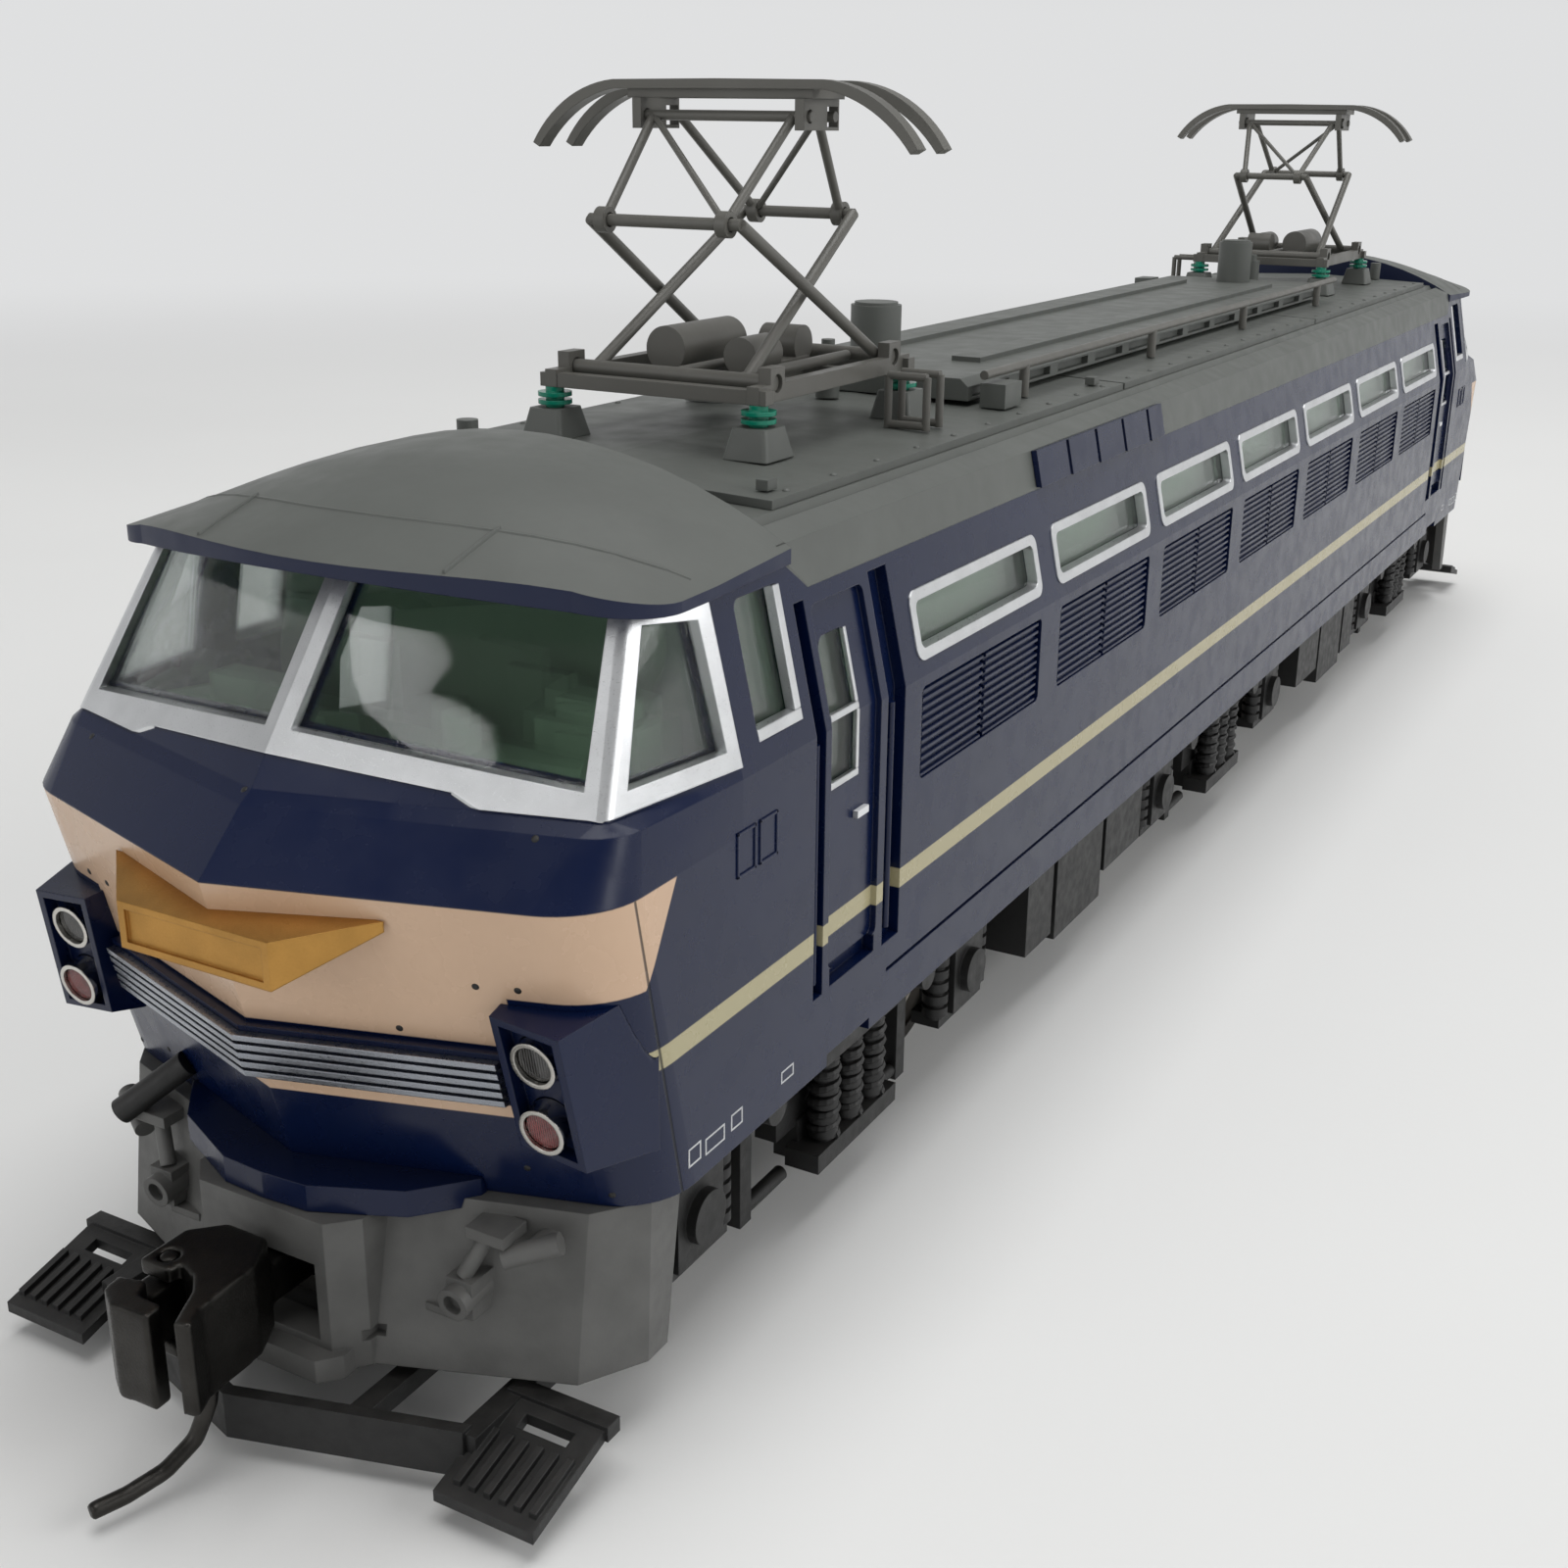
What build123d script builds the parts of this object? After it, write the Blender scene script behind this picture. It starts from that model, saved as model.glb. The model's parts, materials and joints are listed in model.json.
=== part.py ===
from build123d import *
import math
import os

# Model electric locomotive, six axles in three two-axle bogies, cab at each end.
# Millimetres.  +Z up, Z = 0 at the bottom of the wheel flanges, -Y is the front
# cab, the origin is in the middle of the footprint.  The two ends are the same
# piece turned half a turn about Z.

# ---------------------------------------------------------------- body shell
HALF_WIDTH = 17.5        # half width of the vertical side wall
BODY_BOTTOM = 12.9
KNEE_Z = 32.0            # the wall leans inwards above this height
WALL_LEAN = 0.22         # inward run per unit of height above the knee
WALL = 1.2               # thickness of the moulded shell
PAINT_TOP_Z = 39.1       # where the side wall meets the roof moulding
CAB_TOP_Z = 41.6         # top of the cab walls, under the cab roof
MID_END = 84.0           # the straight middle runs between -84 and +84
WINDOW_PILLAR_Y = 90.9   # rear edge of the corner window

# Nose levels: height, ridge y, corner (x, y), corner radius, wall x.
NOSE_LEVELS = (
    (12.9, -103.6, (17.5, -98.3), 4.0, 17.5),
    (29.3, -107.9, (17.5, -102.6), 4.2, 17.5),
    (32.0, -105.1, (16.9, -100.4), 2.4, 17.5),
    (32.5, -104.35, (16.0, -99.93), 0.6, 17.39),
    (42.0, -97.0, (13.8, -94.5), 0.6, 15.3),
)

# ---------------------------------------------------------------- side details
BAY_PITCH = 20.87        # pitch of the windows and louvres along the side
BAYS = 7
WINDOW_LENGTH = 18.2
WINDOW_Z = (32.85, 36.7)
WINDOW_BAR = 0.62        # width of the window frame
LOUVRE_LENGTH = 17.6
LOUVRE_Z = (26.0, 31.4)
LOUVRE_SLATS = 11
DOOR_Y = (-82.1, -76.5)
DOOR_Z = (18.6, 38.2)
RAIL_CHANNELS = ((-83.7, -82.7), (-75.7, -73.6))

# Windscreen and corner window outlines, seen from the front (x, z) and the side (y, z).
FRONT_FRAME = ((0.0, 33.9), (15.9, 32.55), (15.9, 41.9), (0.0, 41.9))
FRONT_PANE = ((0.75, 34.85), (14.75, 33.6), (13.15, 41.9), (0.75, 41.9))
CORNER_FRAME = ((-101.5, 32.6), (-90.9, 32.6), (-91.05, 40.3), (-101.5, 41.9))
CORNER_PANE = ((-98.3, 33.5), (-91.75, 33.5), (-91.85, 39.6), (-94.9, 39.9))
LAMPS = ((14.35, 22.1), (14.55, 18.85))   # centres of the head and tail lamps, x and z
LAMP_DEPTH_DIR = (0, 0.985, 0.175)        # into the housing, square to its face

# ---------------------------------------------------------------- roof
ROOF_SHOULDER = (15.4, 41.5)
ROOF_TOP_Z = 42.9
ROOF_JOINT = ((-82.0, PAINT_TOP_Z), (-84.2, 41.0), (-84.2, 44))   # slanting end of the roof, y and z
DOME_LEVELS = ((-100.4, 42.0), (-97.4, 43.2), (-94.0, 44.4), (-90.0, 45.3), (-86.5, 45.6), (-83.4, 45.6))
HATCH_HALF_WIDTH = 12.95
HATCH_TOP_Z = 43.3
DUCT_HALF_LENGTH = 46.6
DUCT_HALF_WIDTH = 8.6
DUCT_TOP_Z = 44.8

# ---------------------------------------------------------------- pantographs
PANTO_Y = 62.3           # distance of each pantograph from the middle
SHAFT_Y, SHAFT_Z = 7.4, 47.0
ELBOW_Y, ELBOW_Z = 7.7, 55.4
HEAD_PIN_Y, HEAD_PIN_Z = 1.4, 61.05
HEAD_PIN_X = 5.9         # half length of the arms' top tubes
INSULATOR_X, INSULATOR_Y = 6.9, 9.0
PIN_CLEARANCE = 0.07

# ---------------------------------------------------------------- running gear
AXLE_Z = 7.7
TREAD_RADIUS = 7.0
FLANGE_RADIUS = 7.7
WHEEL_BACK_X = 7.2       # inner face of a wheel
WHEEL_FACE_X = 10.0
HALF_WHEELBASE = 16.875
BOGIE_Y = 73.75          # end bogie centres
AXLE_RADIUS = 1.5
JOURNAL_RADIUS = 1.0
RUNNING = 0.08           # radial clearance of shafts
PIVOT_RADIUS = 3.0

# ---------------------------------------------------------------- couplers
COUPLER_PIVOT_Y = -101.5
COUPLER_Z = (7.5, 9.7)
COUPLER_POST_RADIUS = 0.7
KNUCKLE_PIVOT = (-1.75, -110.3)
UNCOUPLING_PIN = (
    (0.6, -110.5, 6.5), (0.5, -110.85, 4.3), (0.2, -111.6, 2.6),
    (-0.4, -113.0, 1.56), (-1.0, -114.8, 1.26), (-1.6, -116.4, 1.23),
)
UNCOUPLING_PIN_RADIUS = 0.42

MOTOR_Z = 27.0


def box(x0, x1, y0, y1, z0, z1):
    """Block between two corners."""
    return Pos((x0 + x1) / 2, (y0 + y1) / 2, (z0 + z1) / 2) * Box(x1 - x0, y1 - y0, z1 - z0)


def along_x(points, x0, x1):
    """Outline in (y, z), swept along X."""
    face = make_face(Polyline(*points, close=True))
    return Pos(x0, 0, 0) * extrude(Plane.YZ * face, x1 - x0)


def along_y(points, y0, y1):
    """Outline in (x, z), swept along Y."""
    face = make_face(Polyline(*points, close=True))
    return Pos(0, y1, 0) * extrude(Plane.XZ * face, y1 - y0)


def along_z(points, z0, z1):
    """Outline in (x, y), swept along Z."""
    face = make_face(Polyline(*points, close=True))
    return Pos(0, 0, z0) * extrude(face, z1 - z0)


def rod(start, end, radius):
    """Round bar between two points."""
    a, b = Vector(*start), Vector(*end)
    run = b - a
    return Plane(origin=a, z_dir=run.normalized()) * extrude(Circle(radius), run.length)


def fuse(shapes):
    """One solid from overlapping pieces."""
    shapes = list(shapes)
    total = shapes[0]
    for shape in shapes[1:]:
        total = total + shape
    return total


def cut(shape, tools):
    """Take the tools away from the shape in one step."""
    return shape - list(tools)


def mirror_x(shape):
    """The same piece on the other side of the locomotive."""
    return mirror(shape, Plane.YZ)


def turned(shape):
    """The same piece at the other end of the locomotive."""
    return Rot(0, 0, 180) * shape


def sides(shape):
    return [shape, mirror_x(shape)]


def ends(shapes):
    shapes = shapes if isinstance(shapes, list) else [shapes]
    return shapes + [turned(s) for s in shapes]


def solids_of(shapes):
    found = []
    for shape in shapes:
        found += list(shape.solids())
    return found


def save(name, *shapes):
    """Write one node."""
    found = solids_of(shapes)
    export_step(Compound(found) if len(found) > 1 else found[0], f"parts/{name}.step")


# ================================================================ body geometry
def wall_x(z):
    """Outer half width of the straight body at a height."""
    return HALF_WIDTH - max(0.0, z - KNEE_Z) * WALL_LEAN


def side_slab(y0, y1, z0, z1, outer, inner):
    """Layer of the right side wall between two depths below its surface."""
    heights = [z0] + ([KNEE_Z] if z0 < KNEE_Z < z1 else []) + [z1]
    points = [(wall_x(z) - outer, z) for z in heights]
    points += [(wall_x(z) - inner, z) for z in reversed(heights)]
    return along_y(points, y0, y1)


def rounded_x(y0, y1, z0, z1, radius, x0=8.0, x1=22.0):
    """Rounded bar along X, used to trim panels in the side wall."""
    face = Pos((y0 + y1) / 2, (z0 + z1) / 2) * RectangleRounded(y1 - y0, z1 - z0, radius)
    return Pos(x0, 0, 0) * extrude(Plane.YZ * face, x1 - x0)


def side_panel(y0, y1, z0, z1, radius, outer, inner):
    """Rounded panel lying in the right side wall."""
    slab = side_slab(y0, y1, z0, z1, outer, inner)
    return slab & rounded_x(y0, y1, z0, z1, radius)


def shifted(points, inset):
    """Closed polygon moved inwards by a distance; the points run anticlockwise."""
    count = len(points)
    lines = []
    for i in range(count):
        (ax, ay), (bx, by) = points[i], points[(i + 1) % count]
        length = math.hypot(bx - ax, by - ay)
        nx, ny = -(by - ay) / length, (bx - ax) / length
        lines.append((ax + nx * inset, ay + ny * inset, bx - ax, by - ay))
    moved = []
    for i in range(count):
        px, py, ux, uy = lines[i - 1]
        qx, qy, vx, vy = lines[i]
        cross = ux * vy - uy * vx
        if abs(cross) < 1e-9:
            moved.append((qx, qy))
        else:
            t = ((qx - px) * vy - (qy - py) * vx) / cross
            moved.append((px + ux * t, py + uy * t))
    return moved


def nose_outline(level, inset):
    """Horizontal section of the nose at one level."""
    z, ridge_y, corner, radius, side = level
    cx, cy = corner
    right = [(0, ridge_y), (cx, cy), (side, -WINDOW_PILLAR_Y), (side, -MID_END)]
    left = [(-x, y) for x, y in reversed(right[1:])]
    points = shifted(right + left, inset)
    face = make_face(Polyline(*points, close=True))
    corners = [v for v in face.vertices() if abs(v.Y - points[1][1]) < 1e-4]
    face = fillet(corners, max(0.2, radius - inset))
    return Pos(0, 0, z) * face


def nose(inset):
    """Front nose from the bottom edge to the cab roof, all faces moved in by the inset."""
    pieces = []
    for low, high in zip(NOSE_LEVELS, NOSE_LEVELS[1:]):
        pieces.append(loft([nose_outline(low, inset), nose_outline(high, inset)], ruled=True))
    return fuse(pieces)


def straight_body(inset):
    """Body between the two cabs, run into them by the inset so that no wall is left."""
    top = CAB_TOP_Z + 0.4
    right = [(wall_x(z) - inset, z) for z in (BODY_BOTTOM, KNEE_Z, top)]
    left = [(-x, z) for x, z in reversed(right)]
    end = MID_END + 1.5 * inset
    return along_y(right + left, -end, end)


def arch(y, crown, half_width, edge_z, sag_z, sag_crown):
    """Closed cross-section of the cab roof: arched top and arched underside."""
    top = ThreePointArc((-half_width, edge_z), (0, crown), (half_width, edge_z))
    side = Line((half_width, edge_z), (half_width, sag_z))
    under = ThreePointArc((half_width, sag_z), (0, sag_crown), (-half_width, sag_z))
    back = Line((-half_width, sag_z), (-half_width, edge_z))
    return Pos(0, y, 0) * (Plane.XZ * make_face(Curve() + [top, side, under, back]))


def cab_roof():
    """Domed roof with a visor over the windscreen."""
    sections = [arch(y, crown, 16.3, 40.95, 40.45, 41.45) for y, crown in DOME_LEVELS]
    dome = loft(sections)
    outline = Polyline((15.75, -83.4), (16.15, -91.0), (16.2, -94.0))
    corner = ThreePointArc((16.2, -94.0), (15.3, -96.3), (12.9, -97.6))
    front = ThreePointArc((12.9, -97.6), (0, -100.2), (-12.9, -97.6))
    corner_left = ThreePointArc((-12.9, -97.6), (-15.3, -96.3), (-16.2, -94.0))
    left = Polyline((-16.2, -94.0), (-16.15, -91.0), (-15.75, -83.4))
    back = Line((-15.75, -83.4), (15.75, -83.4))
    plan = make_face(Curve() + [outline, corner, front, corner_left, left, back])
    return dome & (Pos(0, 0, 39) * extrude(plan, 8))


NOSE_OUTER = nose(0)
CAB_ROOF = cab_roof()


def centre_line(bay):
    """Y of a window bay."""
    return (bay - (BAYS - 1) / 2) * BAY_PITCH


def windscreen_openings(frames):
    """Prisms that outline the frames or the panes at the front cab."""
    front = FRONT_FRAME if frames else FRONT_PANE
    corner = CORNER_FRAME if frames else CORNER_PANE
    tools = []
    for tool in (along_y(front, -108, -93.5), along_x(corner, 9, 20)):
        tools += sides(tool)
    return tools


def cab_openings():
    """Cuts for the front right cab: side window, door, hand rail channels and steps."""
    return [
        side_panel(-89.0, -84.7, 33.2, 39.9, 0.5, -1, WALL + 1),
        side_panel(DOOR_Y[0], DOOR_Y[1], DOOR_Z[0], DOOR_Z[1], 0.5, -1, 0.35),
        side_panel(-81.5, -78.4, 28.4, 36.4, 0.7, -1, WALL + 1),
        side_slab(RAIL_CHANNELS[0][0], RAIL_CHANNELS[0][1], 17.5, 38.6, -1, 0.7),
        side_slab(RAIL_CHANNELS[1][0], RAIL_CHANNELS[1][1], 17.5, 38.6, -1, 0.7),
        side_slab(-82.0, -77.0, 11.0, 13.6, -1, WALL + 1),
        side_slab(-81.9, -76.7, 17.6, DOOR_Z[0], -1, 0.7),
    ]


def bay_openings():
    """Cuts along the right side: windows, louvre seats and the long groove."""
    tools = [side_slab(-75.0, 75.0, 15.6, 15.85, -1, 0.2)]
    for bay in range(BAYS):
        y = centre_line(bay)
        tools.append(side_panel(y - WINDOW_LENGTH / 2, y + WINDOW_LENGTH / 2, *WINDOW_Z, 0.8, -1, WALL + 1))
        tools.append(side_panel(y - LOUVRE_LENGTH / 2, y + LOUVRE_LENGTH / 2, *LOUVRE_Z, 0.4, -1, 0.45))
    return tools


def build_body_shell():
    """One-piece moulded body: two cabs and the side walls, open below and above."""
    outer = fuse([straight_body(0), NOSE_OUTER, turned(NOSE_OUTER)])
    inner_nose = nose(WALL)
    inner = fuse([straight_body(WALL), inner_nose, turned(inner_nose)])
    shell = outer - inner
    shell = shell - box(-20, 20, -82.0, 82.0, PAINT_TOP_Z, 44)
    slant = along_x(ROOF_JOINT + ((-80, 44), (-80, PAINT_TOP_Z)), -20, 20)
    shell = cut(shell, ends(slant))
    shell = cut(shell, ends(CAB_ROOF))
    frame_seat = nose(0.5)
    for tool in windscreen_openings(frames=True):
        shell = cut(shell, ends(tool - frame_seat))
    for tool in windscreen_openings(frames=False):
        shell = cut(shell, ends(tool))
    for tool in cab_openings():
        for side in sides(tool):
            shell = cut(shell, ends(side))
    for tool in bay_openings():
        shell = cut(shell, sides(tool))
    return shell


def largest(shape):
    """The main solid, without loose slivers."""
    return max(shape.solids(), key=lambda s: s.volume)


def build_windscreen_frames():
    """Bright frames around the windscreen panes and the corner windows."""
    layer = nose(-0.12) - nose(0.5)
    layer = cut(layer, [CAB_ROOF])
    pieces = []
    for tool in windscreen_openings(frames=True):
        pieces.append(layer & tool)
    frame = fuse(pieces)
    frame = cut(frame, windscreen_openings(frames=False))
    return largest(frame)


def build_cab_glazing():
    """Clear panes of one cab: windscreen, corner windows, side and door windows."""
    layer = nose(0.35) - nose(0.85)
    layer = cut(layer, [CAB_ROOF])
    panes = [largest(layer & tool) for tool in windscreen_openings(frames=False)]
    side = side_panel(-88.95, -84.75, 33.25, 39.85, 0.45, 0.6, 1.0)
    door = side_panel(-81.45, -78.45, 28.45, 36.35, 0.65, 0.6, 1.0)
    return panes + sides(side) + sides(door)


def build_side_window_frames():
    """Thin bright frame of each machine room window."""
    frames = []
    for bay in range(BAYS):
        y = centre_line(bay)
        y0, y1 = y - WINDOW_LENGTH / 2, y + WINDOW_LENGTH / 2
        z0, z1 = WINDOW_Z
        rim = side_panel(y0, y1, z0, z1, 0.8, -0.1, 0.6)
        bar = WINDOW_BAR
        rim = rim - side_panel(y0 + bar, y1 - bar, z0 + bar, z1 - bar, 0.5, -1, 2)
        frames += sides(rim)
    return frames


def build_side_glazing():
    """Pane behind each machine room window frame."""
    panes = []
    for bay in range(BAYS):
        y = centre_line(bay)
        half = WINDOW_LENGTH / 2
        panes += sides(side_panel(y - half, y + half, *WINDOW_Z, 0.8, 0.6, 1.0))
    return panes


def build_side_louvres():
    """Louvre panels under the windows, two halves to each panel."""
    depth = 0.3
    pitch = (LOUVRE_Z[1] - LOUVRE_Z[0]) / LOUVRE_SLATS
    back_x = HALF_WIDTH - 0.45
    points = [(back_x, LOUVRE_Z[0])]
    for slat in range(LOUVRE_SLATS):
        z = LOUVRE_Z[0] + slat * pitch
        points.append((back_x + depth * 1.2, z + pitch * 0.1))
        points.append((back_x + depth * 1.2, z + pitch * 0.45))
        points.append((back_x + depth * 0.5, z + pitch * 0.6))
        points.append((back_x + depth * 0.5, z + pitch * 0.95))
    points.append((back_x, LOUVRE_Z[1]))
    half = LOUVRE_LENGTH / 2
    panels = []
    for bay in range(BAYS):
        y = centre_line(bay)
        panels += sides(along_y(points, y - half + 0.3, y - 0.2))
        panels += sides(along_y(points, y + 0.2, y + half - 0.3))
    return panels


def build_roof_shell():
    """Roof moulding with sloping shoulders and a rain gutter along each side."""
    outer = [(wall_x(PAINT_TOP_Z), PAINT_TOP_Z), ROOF_SHOULDER, (13.9, 42.1), (13.5, 41.8), (13.1, 42.3)]
    outer = outer + [(0, ROOF_TOP_Z)]
    inner = [(0, ROOF_TOP_Z - WALL), (13.0, 41.0), (14.2, 40.4), (wall_x(PAINT_TOP_Z) - WALL, PAINT_TOP_Z)]
    right = outer + inner
    left = [(-x, z) for x, z in right]
    roof = fuse([along_y(right, -86, 86), along_y(left, -86, 86)])
    slope = along_x(ROOF_JOINT + ((-90, 44), (-90, PAINT_TOP_Z)), -20, 20)
    roof = cut(roof, ends(slope))
    return largest(cut(roof, ends(CAB_ROOF)))


def build_roof_hatches():
    """Three lift-off panels on the roof, with lips and lifting lugs."""
    hatches = []
    for y0, y1 in ((-80.4, -28.2), (-27.8, 27.8), (28.2, 80.4)):
        wide = HATCH_HALF_WIDTH
        under = [(wide, 42.32), (0, 42.95), (-wide, 42.32)]
        over = [(-wide, 42.8), (0, HATCH_TOP_Z), (wide, 42.8)]
        panel = along_y(under + over, y0, y1)
        hatches.append(panel)
    return hatches


def build_roof_ducts():
    """Raised air duct on the centre panels, with a slotted side and a shallow lid."""
    half = DUCT_HALF_LENGTH
    wide = DUCT_HALF_WIDTH
    top = DUCT_TOP_Z
    profile = [(wide, 43.35), (wide, top - 0.5), (wide - 0.6, top)]
    profile += [(-x, z) for x, z in reversed(profile)]
    duct = along_y(profile, -half, half)
    duct = duct - box(-wide - 1, wide + 1, -half, half, 42, 43.36)
    slots = []
    count = 12
    pitch = 2 * half / count
    for i in range(count):
        y = -half + (i + 0.5) * pitch
        slots.append(box(wide - 0.5, wide + 1, y - pitch * 0.4, y + pitch * 0.4, 43.55, top - 0.65))
        slots.append(box(-wide - 1, -wide + 0.5, y - pitch * 0.4, y + pitch * 0.4, 43.55, top - 0.65))
    duct = cut(duct, slots)
    boards = [box(x - 1.1, x + 1.1, -38, 38, top, top + 0.35) for x in (-4.6, 4.6)]
    return [duct] + boards


def build_roof_side_panels():
    """Ribbed equipment covers on the roof shoulders."""
    x_low, x_high = wall_x(PAINT_TOP_Z + 0.15), ROOF_SHOULDER[0]
    profile = [(x_low + 0.03, 39.25), (x_low + 0.4, 39.25), (x_high + 0.4, 41.55), (x_high + 0.03, 41.45)]
    cover = along_y(profile, -52.0, -27.8)
    pitch = (52.0 - 27.8) / 4.6
    for rib in range(1, 5):
        y = -52.0 + rib * pitch
        cover = cover - (along_y([(x + 0.22, z) for x, z in profile], y - 0.25, y + 0.25))
    return [cover, turned(cover)]


def build_lamp_housings():
    """Slanted lamp boxes at the lower corners of each cab front."""
    face = [(12.45, 24.25), (16.05, 23.95), (16.45, 17.0), (12.95, 17.4)]
    back = [(11.6, 24.9), (17.42, 24.7), (17.42, 16.2), (12.2, 16.4)]
    front_plane = Plane(origin=(0, -103.9, 24.1), x_dir=(1, 0, 0), z_dir=(0, -0.985, -0.175))
    face_points = [(x, (z - 24.1) / 0.985) for x, z in face]
    back_face = Pos(0, -98.2, 0) * (Plane.XZ * make_face(Polyline(*back, close=True)))
    front_face = front_plane * make_face(Polyline(*face_points, close=True))
    block = loft([back_face, front_face], ruled=True)
    recess = [(12.85, 23.85), (15.65, 23.6), (16.05, 17.4), (13.3, 17.75)]
    recess_points = [(x, (z - 24.1) / 0.985) for x, z in recess]
    pocket = extrude(front_plane * make_face(Polyline(*recess_points, close=True)), -0.7)
    block = block - pocket
    for x, z in LAMPS:
        block = block - lamp_axis(x, z, 1.22, 3.0)
    block = largest(block - NOSE_OUTER)
    return sides(block)


def lamp_axis(x, z, radius, length, start=0.0):
    """Cylinder running into a lamp housing, square to its face."""
    face_y = -103.9 + (24.1 - z) * 0.175 / 0.985
    dy, dz = LAMP_DEPTH_DIR[1], LAMP_DEPTH_DIR[2]
    near = (x, face_y + dy * start, z + dz * start)
    far = (x, near[1] + dy * length, near[2] + dz * length)
    return rod(near, far, radius)


def build_lamp_bezels():
    """Bright rings around every lamp; the tail lamp rings stand further out."""
    rings = []
    for (x, z), start in zip(LAMPS, (0.05, -0.35)):
        bezel = lamp_axis(x, z, 1.18, 1.4, start) - lamp_axis(x, z, 0.96, 3.0, start - 1)
        rings += sides(bezel)
    return rings


def build_lenses(which, start):
    """Round lens of one lamp on each side."""
    x, z = LAMPS[which]
    lens = lamp_axis(x, z, 0.92, 0.8, start)
    return sides(lens)


def build_nameplates():
    """Winged emblem on the nose: flat front plate with swept wings."""
    plate = make_face(Polyline((4.5, 25.4), (4.5, 27.7), (-4.5, 27.7), (-4.5, 25.4), close=True))
    wings = make_face(Polyline((8.1, 27.75), (8.1, 28.25), (-8.1, 28.25), (-8.1, 27.75), close=True))
    sections = [Pos(0, y, 0) * (Plane.XZ * face) for y, face in ((-108.6, plate), (-105.3, wings))]
    emblem = loft(sections, ruled=True)
    panel = box(-4.1, 4.1, -109, -108.45, 25.75, 27.35)
    emblem = emblem - panel
    return [largest(emblem - NOSE_OUTER)]


def build_grilles():
    """Bright bars and clips in front of each nose, on a dark backing."""
    zone = box(-12.2, 12.2, -112, -99, 18.85, 21.75)
    backing = largest((nose(-0.55) & zone) - NOSE_OUTER)
    outer = nose(-1.05)
    inner = nose(-0.56)
    bars = []
    for i in range(5):
        z = 19.2 + i * 0.52
        bar = (outer & box(-12.1, 12.1, -112, -99, z - 0.16, z + 0.16)) - inner
        bars.append(largest(bar))
    return backing, bars


def build_step_shelves():
    """Blue step that stands out below the nose over the coupler."""
    right = [(0, -105.9), (2.6, -105.75), (7.0, -103.8), (9.3, -101.2), (9.3, -99.0)]
    outline = right + [(-x, y) for x, y in reversed(right[1:])]
    shelf = along_z(outline, 12.35, 13.75)
    shelf = shelf - box(-3.6, 3.6, -101.7, -98.0, 12.0, 14.0)
    return largest(shelf - NOSE_OUTER)


def build_skirt():
    """Grey apron under the cab with a centre box around the coupler opening."""
    top = [(0, -103.2), (5.2, -102.9), (14.6, -100.0), (16.5, -97.6), (16.5, -95.0), (15.5, -95.0)]
    low = [(0, -104.8), (5.2, -104.8), (14.6, -101.3), (16.5, -98.1), (16.5, -96.4), (15.5, -96.4)]
    top = top + [(15.5, -97.2), (14.0, -98.9), (5.0, -101.6), (0, -101.9)]
    low = low + [(15.5, -97.7), (14.0, -100.2), (5.0, -103.5), (0, -103.5)]
    top_face = Pos(0, 0, 12.85) * make_face(Polyline(*top, close=True))
    low_face = Pos(0, 0, 4.2) * make_face(Polyline(*low, close=True))
    wing = loft([low_face, top_face], ruled=True)
    skirt = fuse(sides(wing))
    centre = [(3.9, -106.2), (5.2, -104.9), (5.2, -102.0), (-5.2, -102.0), (-5.2, -104.9), (-3.9, -106.2)]
    skirt = skirt + along_z(centre, 4.2, 12.3)
    bar = [(3.7, -107.2), (4.6, -106.2), (4.6, -104.9), (-4.6, -104.9), (-4.6, -106.2), (-3.7, -107.2)]
    skirt = skirt + along_z(bar, 4.05, 5.3)
    skirt = skirt - box(-3.2, 3.2, -110, -100, 5.7, 9.9)
    skirt = skirt - box(-4.3, 4.3, -104.5, -100, 4.9, 12.9)
    skirt = skirt - box(-20, 20, -110, -90, 12.86, 14)
    skirt = skirt - box(4.9, 5.6, -106, -104, 5.6, 6.2)
    skirt = fuse([skirt, skirt_fittings(1), skirt_fittings(-1)])
    return largest(skirt - build_step_shelves())


def skirt_fittings(side):
    """Brake pipe socket, its bracket and hose, moulded on one wing of the apron."""
    bracket = box(9.7, 11.9, -103.0, -101.2, 11.7, 12.3)
    arm = rod((10.7, -102.3, 12.0), (9.6, -103.1, 9.7), 0.4)
    back = box(8.9, 10.4, -103.6, -101.9, 7.7, 9.7)
    socket = rod((9.6, -104.1, 8.6), (9.6, -102.0, 8.8), 0.85)
    socket = socket - rod((9.6, -104.3, 8.6), (9.6, -103.6, 8.66), 0.5)
    hose = rod((11.6, -102.6, 11.0), (14.0, -101.4, 11.9), 0.55)
    foot = rod((12.8, -102.0, 11.45), (12.8, -100.2, 11.45), 0.5)
    strip = box(7.4, 9.4, -103.4, -101.9, 7.2, 7.6)
    fittings = fuse([bracket, arm, back, socket, hose, foot, strip])
    return fittings if side == 1 else mirror_x(fittings)


def build_jumper_plugs():
    """Black electrical plug that points out to the front left of the nose."""
    plug = rod((-12.3, -103.4, 12.2), (-9.3, -101.4, 14.9), 0.7)
    return [largest(plug - NOSE_OUTER - build_step_shelves() - build_skirt())]


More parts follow.
